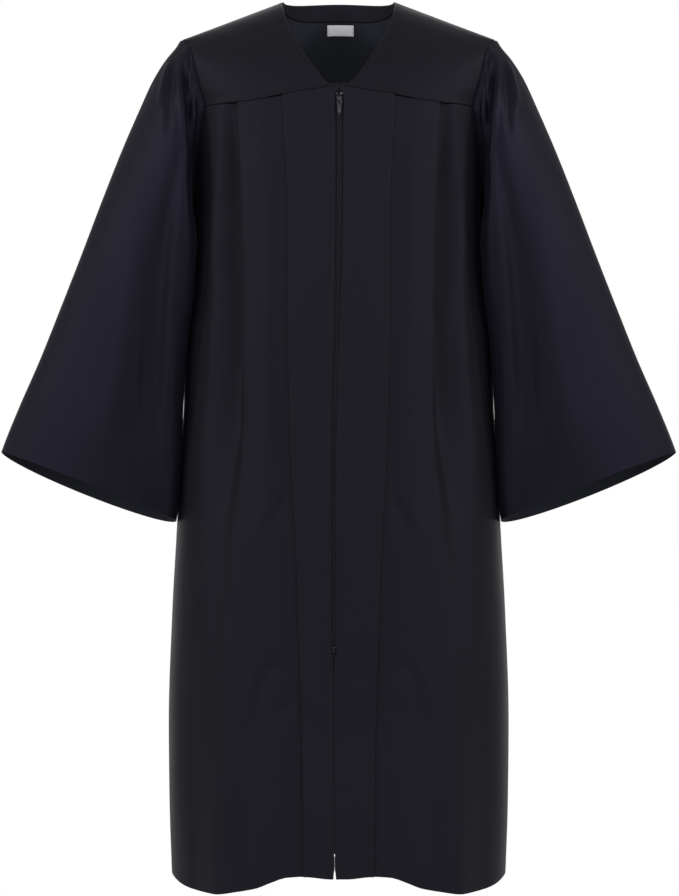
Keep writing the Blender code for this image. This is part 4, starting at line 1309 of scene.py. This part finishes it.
class Yokes:
    """Front yokes and back yoke, with the band and the label inside the neck."""

    NECK_END = 0.42
    EDGE_SHARE = 0.6
    OVERLAP = 0.8

    def front(self) -> np.ndarray:
        """Points of the left front yoke, blended between its four sewn edges.

        Returns:
            Rows by columns of points.
        """
        v = self.shares(150.0, 5.0)[:, None]
        u = self.shares(160.0, 4.0)[None, :]

        def shoulder(share: Numbers) -> np.ndarray:
            """The shoulder seam, from the neck to the tip."""
            x = mix(NECK_HALF, SHOULDER_TIP_HALF, share)
            return np.stack([x, 0 * x, -SHOULDER_TIP_DROP * share], axis=-1)

        def seam(share: Numbers) -> np.ndarray:
            """The yoke seam, from the front opening to the armhole."""
            across = mix(V_NECK.columns["half"][-1], ARMHOLE.read("half", FRONT_CORNER_DROP), share)
            drop = YOKE_SEAM.read("drop", across) + self.OVERLAP
            return BODY_FORM.points(Side.FRONT, drop, BODY_FORM.length_at(Side.FRONT, drop, across), 0.4)

        def neck(share: Numbers) -> np.ndarray:
            """The slanted neck edge, from the shoulder to its foot."""
            return np.stack([
                V_NECK.read("half", share), -V_NECK.read("depth", share), -V_NECK.read("drop", share),
            ], axis=-1)

        ruled = mix(shoulder(u), seam(u), v[..., None])
        sides = mix(neck(v), ARMHOLE_SEAM.on_yoke(Side.FRONT, v), u[..., None])
        one, nil = np.array([[1.0]]), np.array([[0.0]])
        low = mix(shoulder(nil), shoulder(one), u[..., None])
        high = mix(neck(one), ARMHOLE_SEAM.on_yoke(Side.FRONT, one), u[..., None])
        points = ruled + sides - mix(low, high, v[..., None])
        outward = normals_of(points)
        down, across = runs_of(points, 0), runs_of(points, 1)
        lift = turned_edge(down[-1:] - down) + roll_depth(across[:, -1:] - across, 1.6)
        lift = lift + roll_depth(across, 1.2) + roll_depth(down, 1.2)
        lift = lift + 0.3 * np.exp(-((across - 2.6) / 1.6) ** 2) + self.ease_lines(points)
        points = points + outward * lift[..., None]
        points[..., 1] = np.minimum(points[..., 1], -CENTRE_GAP)
        under = ease(u[0] / 0.05)
        row = points[0] + np.stack([0 * under, 0.4 + 2.4 * under, -1.4 + 0 * under], axis=-1)
        return np.concatenate([row[None], points])

    @staticmethod
    def ease_lines(points: np.ndarray) -> np.ndarray:
        """Faint drag lines of the yoke, from the shoulder towards the zip."""
        across, drop = points[..., 0], -points[..., 2]
        return sum(crease.lift(across, drop) for crease in YOKE_CREASES)

    @staticmethod
    def shares(length: float, step: float) -> np.ndarray:
        """Shares of a length, closer together at both ends."""
        return edge_steps(length, step) / length

    def top(self, share: np.ndarray) -> np.ndarray:
        """Points of the back yoke's top edge: shoulder, back neck, shoulder."""
        sign = np.sign(share)
        out = np.clip((np.abs(share) - self.NECK_END) / (1 - self.NECK_END), 0, 1)
        shoulder = np.stack([
            sign * mix(NECK_HALF, SHOULDER_TIP_HALF, out), 0 * out, -SHOULDER_TIP_DROP * out,
        ], axis=-1)
        turn = math.pi / 2 * np.clip(share / self.NECK_END, -1, 1)
        neck = np.stack([
            NECK_HALF * np.sin(turn), BACK_NECK_DEPTH * np.cos(turn), BACK_NECK_RISE * np.cos(turn) ** 3,
        ], axis=-1)
        return np.where((np.abs(share) >= self.NECK_END)[..., None], shoulder, neck)

    def form(self, share: np.ndarray, v: np.ndarray) -> np.ndarray:
        """Points of the back yoke before its ends are drawn to the armholes."""
        top = self.top(share)
        across = share * ARMHOLE.read("half", BACK_CORNER_DROP)
        drop = back_seam_drop(across) + self.OVERLAP
        foot = BODY_FORM.points(Side.BACK, drop, BODY_FORM.length_at(Side.BACK, drop, across), 0.4)
        turn = math.pi / 2 * v
        shares = np.stack([np.sin(turn), np.sin(turn), 1 - np.cos(turn)], axis=-1)
        roundness = mix(0.25, 1.0, ease((np.abs(share) - 0.1) / 0.5))[..., None]
        return mix(mix(top, foot, v[..., None]), mix(top, foot, shares), roundness)

    def back(self, share: np.ndarray, v: np.ndarray) -> np.ndarray:
        """Points of the back yoke at shares across and down."""
        share, v = np.broadcast_arrays(share, v)
        sign = np.where(share < 0, -1.0, 1.0)
        weight = ease((np.abs(share) - self.EDGE_SHARE) / (1 - self.EDGE_SHARE))[..., None]
        sewn = ARMHOLE_SEAM.on_yoke(Side.BACK, v) * np.stack([sign, 1 + 0 * sign, 1 + 0 * sign], axis=-1)
        draw = sewn - self.form(sign, v)
        points = self.form(share, v) + weight * draw
        points[..., 1] = np.maximum(points[..., 1], CENTRE_GAP)
        return points

    def back_points(self) -> np.ndarray:
        """Points of the whole back yoke, from the wearer's left to the right."""
        half = np.concatenate([
            np.linspace(0, 0.36, 22), np.linspace(0.375, 0.47, 12), np.linspace(0.49, 0.97, 26),
            [0.98, 0.99, 0.995, 1.0],
        ])
        share = np.concatenate([half[::-1], -half[1:]])[None, :]
        points = self.back(share, self.shares(150.0, 4.0)[:, None])
        outward = normals_of(points)
        down, across = runs_of(points, 0), runs_of(points, 1)
        lift = turned_edge(down[-1:] - down) + roll_depth(down, 1.0)
        lift = lift + roll_depth(np.minimum(across, across[:, -1:] - across), 1.6)
        points = points + outward * lift[..., None]
        points[..., 1] = np.maximum(points[..., 1], CENTRE_GAP)
        return points

    def band(self) -> np.ndarray:
        """Points of the band inside the back neck."""
        share = np.linspace(self.NECK_END, -self.NECK_END, 90)[None, :]
        points = self.back(share, np.linspace(0, 0.16, 14)[:, None])
        down = runs_of(points, 0)
        lift = -0.8 + 0.4 * roll_depth(down[-1:] - down, 0.6)
        return points + normals_of(points) * lift[..., None]

    def label(self) -> np.ndarray:
        """Points of the label inside the back yoke, below the band."""
        x = np.linspace(19.8, -15.2, 36)[None, :]
        v = np.linspace(0.187, 0.277, 16)[:, None]
        share = x / 252.0 * np.ones_like(v)
        for _ in range(8):
            share = share + (x - self.back(share, v)[..., 0]) / 252.0
        points = self.back(share, v)
        puff = 0.35 * np.sin(math.pi * (x - x.min()) / (x.max() - x.min())) * np.sin(
            math.pi * (v - v.min()) / (v.max() - v.min()))
        return points + normals_of(points) * (-0.95 - puff)[..., None]

    def dress(self) -> None:
        """Build the yokes, the band, the label and their stitches."""
        for hand in Hand:
            word = hand.name.lower()
            panel = Panel(
                "yoke_front_" + word, self.front(), GOWN_CLOTH, hand, INSIDE_CLOTH_PAINTED_LIGHT, held="draped",
                rests_on=("yoke_back",),
            ).build()
            stitches = Stitches("topstitch_yoke_" + word)
            stitches.row(*trimmed(panel.line(down=-4.0), 1, -1))
            panel.declare([stitches.build()])
        back = Panel(
            "yoke_back", self.back_points(), GOWN_CLOTH, inside=INSIDE_CLOTH_PAINTED_LIGHT, held="draped",
            rests_on=("yoke_front_left",),
        ).build()
        stitches = Stitches("topstitch_yoke_back")
        stitches.row(*trimmed(back.line(down=-4.0), 1, -1))
        back.declare([stitches.build()])
        band = Panel(
            "back_neck_band", self.band(), BAND_CLOTH_PAINTED_LIGHT, inside=BAND_CLOTH_PAINTED_LIGHT, held="stretched",
            rests_on=("yoke_back",),
        ).build()
        stitches = Stitches("topstitch_band", under=True)
        stitches.row(*band.line(down=-1.6))
        band.declare([stitches.build()])
        label = Panel(
            "label", self.label(), LABEL_CLOTH, thickness=0.3, held="stretched", rests_on=("yoke_back",),
        ).build()
        stitches = Stitches("label_stitch", under=True, pitch=2.2, length=1.6)
        for line in (label.line(across=1.0), label.line(across=-1.0)):
            stitches.row(*line)
        label.declare([stitches.build()])


YOKE_CREASES = (
    Crease(((150, 60), (120, 84), (86, 104)), 12, 0.9, 0.4),
    Crease(((182, 84), (166, 108), (150, 126)), 8, -0.9, 0.4),
    Crease(((110, 34), (96, 60), (74, 88)), 10, -0.6, 0.4),
)
SLEEVE_CREASES = (
    Crease(((197, 74), (194, 103), (190, 138), (187, 170), (184, 215)), 3.4, -6.5, 0.2),
    Crease(((203, 80), (201, 110), (197, 145), (194, 190), (191, 250)), 4.5, 3.6, 0.3),
    Crease(((187.5, 74), (190, 86), (191, 98)), 2.4, -4.2, 0.3),
    Crease(((180, 103), (185, 118), (187, 138), (185, 172)), 2.3, -4.6, 0.3),
    Crease(((183, 112), (183, 135), (182, 165)), 2.3, 2.0, 0.4),
    Crease(((177, 124), (176, 152), (179, 180), (181, 202)), 2.3, -3.8, 0.3),
    Crease(((214, 70), (219, 98), (224, 122), (229, 152)), 3.6, 4.6, 0.35),
    Crease(((207, 68), (211, 98), (214, 130), (216, 190)), 5.0, -3.4, 0.35),
    Crease(((232, 220), (236, 330), (238, 450), (240, 600)), 16, -5.0, 0.35),
    Crease(((204, 200), (208, 300), (212, 430), (216, 600)), 10, 3.0, 0.35),
    Crease(((262, 300), (272, 420), (284, 540), (290, 620)), 18, 2.5, 0.4),
    Crease(((300, 360), (318, 470), (332, 560)), 16, -1.8, 0.4),
)


class Sleeves:
    """Both bell sleeves."""

    CLEAR = (0.35, 0.35, 0.6, 1.8)
    TURNS = ((180, 90, 92), (90, 0, 34), (360, 270, 34), (270, 180, 44))
    ROWS = 112

    def oval(self, station: Numbers, turn: Numbers):
        """Points of a plain oval ring of the sleeve at fractions of the stations."""
        angle = np.radians(turn)
        across = (1 - np.cos(angle)) / 2
        depth = np.where(turn <= 180, -SLEEVE.read("front", station), SLEEVE.read("back", station))
        return np.stack([
            mix(SLEEVE.read("outer_x", station), SLEEVE.read("inner_x", station), across),
            SLEEVE.read("inner_y", station) * across + depth * np.abs(np.sin(angle)),
            -mix(SLEEVE.read("outer_drop", station), SLEEVE.read("inner_drop", station), across),
        ], axis=-1)

    def points(self) -> np.ndarray:
        """Points of the left sleeve, rows from the seam allowance to the hem."""
        station = np.concatenate([
            [0, 0.02, 0.05, 0.1, 0.18], np.linspace(0.28, 11.9, self.ROWS), [11.95, 11.98, 12.0],
        ])[:, None]
        turn = np.concatenate([
            np.linspace(start, end, count, endpoint=False) for start, end, count in self.TURNS
        ])[None, :]
        along = station / 12
        hold = np.clip(1 - station / 5, 0, 1) ** 1.5
        swing = np.abs(np.sin(np.radians(turn)))
        points = self.oval(station, turn)
        points[..., 2] -= along ** 2 * swing * np.where(turn > 180, 17.0, -5.0)
        seam = ARMHOLE_SEAM.at(turn[0])
        head = seam + np.array([self.CLEAR[0], 0, 0])
        points += hold[..., None] * (head[None] - self.oval(np.zeros((1, 1)), turn))
        valley = mix(100, 138, (station - 3) / 9)
        away = (turn - valley) / 13.0
        dent = 8.5 * np.clip((station - 2) / 3, 0, 1) * np.exp(-away ** 2)
        points[..., 1] += np.where((turn < 180) & (station > 2), dent, 0.0)
        outward = normals_of(points, True)
        across, drop = points[..., 0], -points[..., 2]
        folds = sum(crease.lift(across, drop) for crease in SLEEVE_CREASES)
        front = ease((178 - turn) / 14) * (turn <= 180)
        behind = ease((turn - 182) / 14) * (turn > 180)
        tucks = 0.9 * np.cos(np.radians(turn * 17)) + 0.5 * np.cos(np.radians(turn * 29 + 40))
        tucks = tucks * ease(1 - station / 1.3) * ease((np.abs(turn - 180) - 75) / 30)
        lift = ease(station / 0.25) * (folds * (front + 0.8 * behind) + tucks)
        points = points + outward * (lift + roll_depth(station * 11.0, 1.6))[..., None]
        clear = np.interp(station, range(len(self.CLEAR)), self.CLEAR)
        half = BODY_FORM.half_at(-points[..., 2], points[..., 1])
        points[..., 0] = np.maximum(points[..., 0], half + clear)
        tucked = ARMHOLE_SEAM.at(turn[0], tucked=True)
        return np.concatenate([tucked[None], mix(tucked, seam, 0.9)[None], points])

    def dress(self) -> None:
        """Build both sleeves and their hems' stitches."""
        for hand in Hand:
            word = hand.name.lower()
            panel = Panel(
                "sleeve_" + word, self.points(), SLEEVE_CLOTH, hand, INSIDE_CLOTH_PAINTED_LIGHT, closed=True,
                held="gathered", rests_on=("yoke_front_" + word, "yoke_back"),
            ).build()
            stitches = Stitches("hem_stitch_sleeve_" + word)
            line, outward = panel.line(down=-12.0)
            stitches.row(np.concatenate([line, line[:1]]), np.concatenate([outward, outward[:1]]))
            panel.declare([stitches.build()])


def trimmed(line: Tuple[np.ndarray, np.ndarray], first: int, last: int) -> Tuple[np.ndarray, np.ndarray]:
    """Leave out points at the ends of a line.

    Args:
        line: the points and the normals.
        first: how many to leave out at the start.
        last: the slice's end.

    Returns:
        The shorter line.
    """
    return line[0][first:last], line[1][first:last]


class Beads:
    """Many small rounded bodies, gathered a few dozen at a time to stay quick."""

    PART = 40

    def __init__(self, segments: int, rings: int) -> None:
        """Start empty.

        Args:
            segments: sides of each body.
            rings: its rings.
        """
        self.segments = segments
        self.rings = rings
        self.whole = bmesh.new()
        self.part = bmesh.new()
        self.count = 0

    def add(self, matrix: Matrix) -> None:
        """Add one body, a unit ball under a matrix in millimetres."""
        bmesh.ops.create_uvsphere(
            self.part, u_segments=self.segments, v_segments=self.rings, radius=1.0,
            matrix=Matrix.Scale(MM, 4) @ matrix,
        )
        self.count += 1
        if self.count % self.PART == 0:
            self.gather()

    def gather(self) -> None:
        """Move the present part into the whole."""
        data = bpy.data.meshes.new("part")
        self.part.to_mesh(data)
        self.whole.from_mesh(data)
        bpy.data.meshes.remove(data)
        self.part.clear()

    def finish(self, name: str, finish: "HardFinish", slot: str) -> bpy.types.Object:
        """Make the object.

        Args:
            name: its name.
            finish: its finish.
            slot: the record's slot for it; not used.

        Returns:
            The object, riding on the gown.
        """
        self.gather()
        self.part.free()
        LOG.info("%s: %d bodies, %d faces", name, self.count, len(self.whole.faces))
        thing = finish_mesh(name, self.whole, finish.material())
        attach(thing, GOWN)
        return thing


class Stitches:
    """Rows of thread stitches that lie on the cloth."""

    HALF_WIDTH = 0.2

    def __init__(self, name: str, under: bool = False, pitch: float = 3.3, length: float = 2.5) -> None:
        """Start an empty piece of stitches.

        Args:
            name: the piece's name.
            under: whether they lie on the cloth's wrong side.
            pitch: the distance from one stitch to the next.
            length: how much of each stitch shows.
        """
        self.name = name
        self.side = -1.0 if under else 1.0
        self.pitch = pitch
        self.length = length
        self.beads = Beads(5, 4)

    def row(self, points: np.ndarray, outward: np.ndarray) -> None:
        """Sew along a line.

        Args:
            points: the line's points.
            outward: the cloth's normals there.
        """
        run = np.concatenate([[0], np.cumsum(np.linalg.norm(np.diff(points, axis=0), axis=1))])
        for place in np.arange(self.pitch, run[-1] - self.pitch, self.pitch):
            ends = [
                np.array([np.interp(place + step, run, points[:, k]) for k in range(3)])
                for step in (-self.length / 2, self.length / 2)
            ]
            normal = Vector([np.interp(place, run, outward[:, k]) for k in range(3)]).normalized()
            along = Vector(ends[1] - ends[0]).normalized()
            beside = normal.cross(along).normalized()
            shift = 0.05 if self.side > 0 else -0.6
            centre = Vector((ends[0] + ends[1]) / 2) + normal * shift
            matrix = Matrix((beside * self.HALF_WIDTH, normal * self.HALF_WIDTH, along * self.length / 2))
            matrix = matrix.transposed().to_4x4()
            matrix.translation = centre
            self.beads.add(matrix)

    def build(self) -> bpy.types.Object:
        """Make the object.

        Returns:
            The stitches, riding on the gown.
        """
        return self.beads.finish(self.name, THREAD, "gown_cloth")


def on_band(drop: Numbers, place: Numbers, lift: Numbers, hand: Hand) -> np.ndarray:
    """Points over the centre bands, measured from the chain.

    Args:
        drop: the heights.
        place: distances from the chain's centre towards the hand's side.
        lift: heights over the face of the front.
        hand: the side.

    Returns:
        Points for the wearer's left; the right is mirrored afterwards.
    """
    centre = hand.value * FRONT_LINES.read("opening", drop)
    length = BODY_FORM.length_at(Side.FRONT, drop, centre) + place
    return BODY_FORM.points(Side.FRONT, drop, length, lift)


class Zip:
    """The zip: tapes, coil, slider, pull tab and stops."""

    TAPE_TOP, TAPE_END = 127.5, 858.0
    COIL_TOP, COIL_END = 134.5, 814.0
    PITCH = 2.0
    SPREAD, SPREAD_FROM, SPREAD_TO = 2.05, 141.0, 131.0
    TAPE_PLACES = (0.35, 0.9, 1.6, 2.4, 3.0, 3.5, 4.1, 4.8, 5.8, 7.0, 9.0, 11.0, 12.4, 13.0)
    TAPE_LIFTS = (-2.3, -2.3, -2.2, -2.0, -1.5, -1.6, -2.4, -2.5, -2.0, -1.6, -1.7, -1.75, -1.8, -1.8)

    def spread(self, drop: Numbers):
        """How far each half stands off the centre beside the slider."""
        share = np.clip((self.SPREAD_FROM - drop) / (self.SPREAD_FROM - self.SPREAD_TO), 0, 1)
        return self.SPREAD * share

    def tape(self, hand: Hand) -> None:
        """One tape with its half of the coil."""
        word = hand.name.lower()
        drop = np.linspace(self.TAPE_TOP, self.TAPE_END, 148)[:, None]
        place = np.array(self.TAPE_PLACES)[None, :] + self.spread(drop)
        lift = np.array(self.TAPE_LIFTS)[None, :] + 0 * drop
        panel = Panel(
            "zip_tape_" + word, on_band(drop, place, lift, hand), TAPE_CLOTH_PAINTED_LIGHT, hand, thickness=0.45,
            held="stretched", rests_on=("front_" + word,),
        ).build()
        panel.declare([self.coil(hand)])

    def coil(self, hand: Hand) -> bpy.types.Object:
        """Half of the coil: slanted loops that hook into those of the other half."""
        beads = Beads(8, 6)
        first = self.COIL_TOP + (0.0 if hand is Hand.LEFT else self.PITCH / 2)
        drops = np.arange(first, self.COIL_END, self.PITCH)
        centre = 1.0 + self.spread(drops)
        mirror = np.array([float(hand.value), 1.0, 1.0])
        middle = on_band(drops, centre, -1.45 + 0 * drops, hand) * mirror
        outer = on_band(drops, centre + 1.0, -1.45 + 0 * drops, hand) * mirror
        front = on_band(drops, centre, -0.45 + 0 * drops, hand) * mirror
        for point, beside, out in zip(middle, outer, front):
            along = Vector(beside - point).normalized()
            raised = Vector(out - point).normalized()
            down = along.cross(raised).normalized()
            matrix = Matrix((down * 0.46, raised * 0.85, (along + down * 0.12) * 1.3)).transposed().to_4x4()
            matrix.translation = Vector(point)
            beads.add(matrix)
        # The coil's lightened nylon is painted light for its shade between the fronts.
        return beads.finish("coil_" + hand.name.lower(), NYLON_PAINTED_LIGHT, "zip_tape")

    def frame(self, drop: float) -> Matrix:
        """The zip's own frame: X across, Y out of the cloth, Z down the chain."""
        here, below, above = [
            Vector(on_band(np.array(d), np.array(0.0), np.array(0.0), Hand.LEFT)) for d in (drop, drop + 5, drop - 5)
        ]
        down = (below - above).normalized()
        across = Vector((1.0, 0.0, 0.0))
        out = down.cross(across).normalized()
        matrix = Matrix((across, out, down)).transposed().to_4x4()
        matrix.translation = here
        return Matrix.Scale(MM, 4) @ matrix

    def seat(self, out: float) -> Matrix:
        """The zip's frame at the pull tab's hinge, moved out by a distance."""
        matrix = self.frame(137.0)
        matrix.translation = Vector(HINGE)
        return matrix @ Matrix.Translation((0.0, out, 0.0))

    def place(self, mesh: bmesh.types.BMesh, name: str, node: str, body: str, frame: Matrix) -> None:
        """Set a metal piece into the zip's frame and finish it."""
        bmesh.ops.transform(mesh, matrix=frame, verts=mesh.verts)
        bmesh.ops.recalc_face_normals(mesh, faces=mesh.faces)
        thing = finish_mesh(name, mesh, ENAMEL.material())
        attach(thing, body)
        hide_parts(node)
        LOG.info("%s: %d faces", name, len(thing.data.polygons))

    @staticmethod
    def plate(mesh: bmesh.types.BMesh, low: float, high: float, top: float, foot: float, half: float) -> None:
        """A plate with rounded corners and edges, narrower at its foot."""
        ring = bmesh.ops.create_circle(mesh, cap_ends=True, segments=40, radius=1.0)["verts"]
        for vert in ring:
            x, z = vert.co.x, vert.co.y
            x, z = math.copysign(abs(x) ** 0.45, x), math.copysign(abs(z) ** 0.5, z)
            width = mix(top, foot, float(ease((z + 1) / 2)))
            notch = 0.7 * math.exp(-(x / 0.4) ** 2) if z < 0 else 0.0
            vert.co = (x * width, low, z * half + notch)
        face = ring[0].link_faces[0]
        grown = bmesh.ops.extrude_face_region(mesh, geom=[face])["geom"]
        raised = [item for item in grown if isinstance(item, bmesh.types.BMVert)]
        bmesh.ops.translate(mesh, verts=raised, vec=(0.0, high - low, 0.0))
        tops = {edge for vert in raised for edge in vert.link_edges if edge.other_vert(vert) in raised}
        bmesh.ops.bevel(
            mesh, geom=list(tops), offset=0.28, offset_type="OFFSET", segments=2, profile=0.5,
            affect="EDGES", material=-1,
        )

    def slider(self) -> None:
        """The slider's plates, post and bridge."""
        mesh = bmesh.new()
        self.plate(mesh, -0.2, 1.0, 4.0, 2.9, 5.5)
        self.plate(mesh, -3.2, -4.2, 4.0, 2.9, 5.5)
        bmesh.ops.create_cone(
            mesh, cap_ends=True, segments=16, radius1=1.0, radius2=1.0, depth=3.2,
            matrix=Matrix.Translation((0.0, -1.7, -4.2)) @ Matrix.Rotation(math.pi / 2, 4, "X"),
        )
        arch = bmesh.ops.create_grid(mesh, x_segments=16, y_segments=2, size=1.0)["verts"]
        for vert in arch:
            turn = vert.co.x * math.pi / 2
            fall = 2.4 * math.copysign(abs(math.sin(turn)) ** 0.6, turn)
            rise = 0.9 + 2.9 * abs(math.cos(turn)) ** 0.5
            vert.co = (vert.co.y * 1.1, rise, fall)
        faces = list({face for vert in arch for face in vert.link_faces})
        bmesh.ops.recalc_face_normals(mesh, faces=faces)
        bmesh.ops.solidify(mesh, geom=faces, thickness=0.8)
        self.place(mesh, "zip_slider_metal", "zip_slider", GOWN, self.seat(-1.9))

    def pull(self) -> None:
        """The pull tab, a slightly hollowed bar with a window, on the slider's bridge."""
        mesh = bmesh.new()
        outer = bmesh.ops.create_circle(mesh, segments=48, radius=1.0)["verts"]
        inner = bmesh.ops.create_circle(mesh, segments=48, radius=1.0)["verts"]
        for ring, top, foot, low, high in (
            (outer, 3.0, 2.1, -0.6, PULL_LENGTH), (inner, 1.7, 1.6, 0.6, 4.2),
        ):
            for vert in ring:
                x = math.copysign(abs(vert.co.x) ** 0.5, vert.co.x)
                z = math.copysign(abs(vert.co.y) ** 0.6, vert.co.y)
                width = mix(top, foot, (z + 1) / 2)
                vert.co = (x * width, 0.0, mix(low, high, (z + 1) / 2))
        rims = set(mesh.edges)
        bmesh.ops.bridge_loops(mesh, edges=list(rims))
        bmesh.ops.subdivide_edges(mesh, edges=[edge for edge in mesh.edges if edge not in rims], cuts=3)
        for vert in mesh.verts:
            rim = min(1.0, abs(vert.co.x) / 2.6)
            vert.co.y = -0.28 * (1 - rim ** 2) * float(ease((vert.co.z - 4.5) / 3))
        bmesh.ops.recalc_face_normals(mesh, faces=mesh.faces)
        bmesh.ops.solidify(mesh, geom=mesh.faces, thickness=1.1)
        bar = [vert.co.y for vert in mesh.verts if vert.co.z < 0.6]
        flat = sum(bar) / len(bar)
        bmesh.ops.translate(mesh, verts=mesh.verts, vec=(0.0, -flat, 0.0))
        self.place(mesh, "zip_pull_metal", "zip_pull", PULL, self.seat(0.0))

    def stop(self, name: str, drop: float, height: float, half: float, across: float, ribs: int) -> None:
        """A crimped metal stop with shallow ribs."""
        mesh = bmesh.new()
        verts = bmesh.ops.create_grid(mesh, x_segments=8, y_segments=4 * ribs, size=1.0)["verts"]
        for vert in verts:
            x, z = vert.co.x, (vert.co.y + 1) / 2
            crown = 0.35 * (1 - x ** 4) - 0.12 * (1 + math.cos(math.tau * ribs * z)) / 2
            vert.co = (across + x * half, crown - 0.2, z * height)
        bmesh.ops.recalc_face_normals(mesh, faces=mesh.faces)
        bmesh.ops.solidify(mesh, geom=mesh.faces, thickness=1.1)
        self.place(mesh, name + "_metal", name, GOWN, self.frame(drop))

    def dress(self) -> None:
        """Build the whole zip."""
        for hand in Hand:
            self.tape(hand)
            self.stop("zip_top_stop_" + hand.name.lower(), 127.8, 3.2, 1.1, hand.value * 2.8, 1)
        self.stop("zip_bottom_stop", 817.5, 7.0, 2.0, 0.0, 3)
        self.slider()
        self.pull()


@dataclass(frozen=True)
class StageSet:
    """A pale floor, soft lights and the camera."""

    floor_drop: float = 1.46
    radius: float = 2.1

    def floor(self) -> None:
        """The plain floor."""
        mesh = bmesh.new()
        bmesh.ops.create_circle(mesh, cap_ends=True, segments=64, radius=self.radius)
        bmesh.ops.translate(mesh, verts=mesh.verts, vec=(0.0, 0.0, -self.floor_drop))
        nodes = Nodes("studio_floor")
        where = nodes.add("ShaderNodeTexCoord").outputs["Object"]
        tone = nodes.noise(where, 3.0, 2.0)
        nodes.put(nodes.shader.inputs["Base Color"], nodes.ramp(tone, (0.70, 0.70, 0.70), (0.74, 0.74, 0.74)))
        nodes.shader.inputs["Roughness"].default_value = 0.9
        nodes.shader.inputs["Specular IOR Level"].default_value = 0.2
        nodes.shader.inputs["Emission Color"].default_value = (1.0, 1.0, 1.0, 1.0)
        nodes.shader.inputs["Emission Strength"].default_value = 0.08
        finish_mesh("studio_floor", mesh, nodes.material)

    def light(self, name: str, place: Tuple[float, float, float], size: float, power: float) -> None:
        """One soft light that looks at the gown's middle."""
        data = bpy.data.lights.new(name, "AREA")
        data.shape = "SQUARE"
        data.size = size
        data.energy = power
        thing = bpy.data.objects.new(name, data)
        bpy.context.scene.collection.objects.link(thing)
        thing.location = place
        aim = Vector((0.0, 0.0, -0.45)) - Vector(place)
        thing.rotation_euler = aim.to_track_quat("-Z", "Y").to_euler()

    @staticmethod
    def sky() -> None:
        """A white surround that lights the gown more from the sides than from the front."""
        world = bpy.data.worlds.new("studio")
        world.use_nodes = True
        tree = world.node_tree
        back = tree.nodes["Background"]
        out = tree.nodes["World Output"]
        where = tree.nodes.new("ShaderNodeTexCoord")
        split = tree.nodes.new("ShaderNodeSeparateXYZ")
        tree.links.new(where.outputs["Generated"], split.inputs[0])
        total = 0.27
        for axis, power, strength in (("X", 2.0, 0.08), ("Z", 1.0, 0.17), ("Y", 1.0, 0.08)):
            raised = tree.nodes.new("ShaderNodeMath")
            raised.operation = "POWER" if power != 1.0 else "MULTIPLY"
            tree.links.new(split.outputs[axis], raised.inputs[0])
            raised.inputs[1].default_value = power
            added = tree.nodes.new("ShaderNodeMath")
            added.operation = "MULTIPLY_ADD"
            tree.links.new(raised.outputs[0], added.inputs[0])
            added.inputs[1].default_value = strength
            if isinstance(total, float):
                added.inputs[2].default_value = total
            else:
                tree.links.new(total, added.inputs[2])
            total = added.outputs[0]
        tree.links.new(total, back.inputs["Strength"])
        back.inputs["Color"].default_value = (1.0, 1.0, 1.0, 1.0)
        plain = tree.nodes.new("ShaderNodeBackground")
        plain.inputs["Color"].default_value = (1.0, 1.0, 1.0, 1.0)
        seen = tree.nodes.new("ShaderNodeLightPath")
        chosen = tree.nodes.new("ShaderNodeMixShader")
        tree.links.new(seen.outputs["Is Camera Ray"], chosen.inputs[0])
        tree.links.new(back.outputs[0], chosen.inputs[1])
        tree.links.new(plain.outputs[0], chosen.inputs[2])
        tree.links.new(chosen.outputs[0], out.inputs["Surface"])
        bpy.context.scene.world = world

    def dress(self) -> None:
        """Set the stage."""
        self.floor()
        self.light("key", (0.0, -3.9, 1.1), 2.4, 40.0)
        self.light("back", (0.0, 3.2, 2.1), 1.4, 45.0)
        for side in (-1.0, 1.0):
            self.light("front_%+d" % side, (side * 2.6, -2.6, 0.6), 1.6, 36.0)
            self.light("cap_%+d" % side, (side * 3.0, -0.8, 1.3), 0.5, 26.0)
            self.light("rim_%+d" % side, (side * 1.9, 3.0, -0.8), 1.2, 9.0)
        self.sky()
        scene = bpy.context.scene
        scene.view_settings.view_transform = "Standard"
        camera = bpy.data.cameras.new("camera")
        camera.sensor_fit = "VERTICAL"
        camera.sensor_height = 36.0
        camera.lens = 125.4
        thing = bpy.data.objects.new("camera", camera)
        scene.collection.objects.link(thing)
        thing.location = (0.001, -4.0, -0.5715)
        thing.rotation_euler = (math.pi / 2, 0.0, 0.0)
        scene.camera = thing


def write_sizes() -> None:
    """Update the view layer."""
    bpy.context.view_layer.update()


def main() -> None:
    """Dress the gown and set the stage."""
    Fronts().dress()
    BackPanel().dress()
    Yokes().dress()
    Sleeves().dress()
    Zip().dress()
    StageSet().dress()
    write_sizes()


if __name__ == "__main__":
    main()
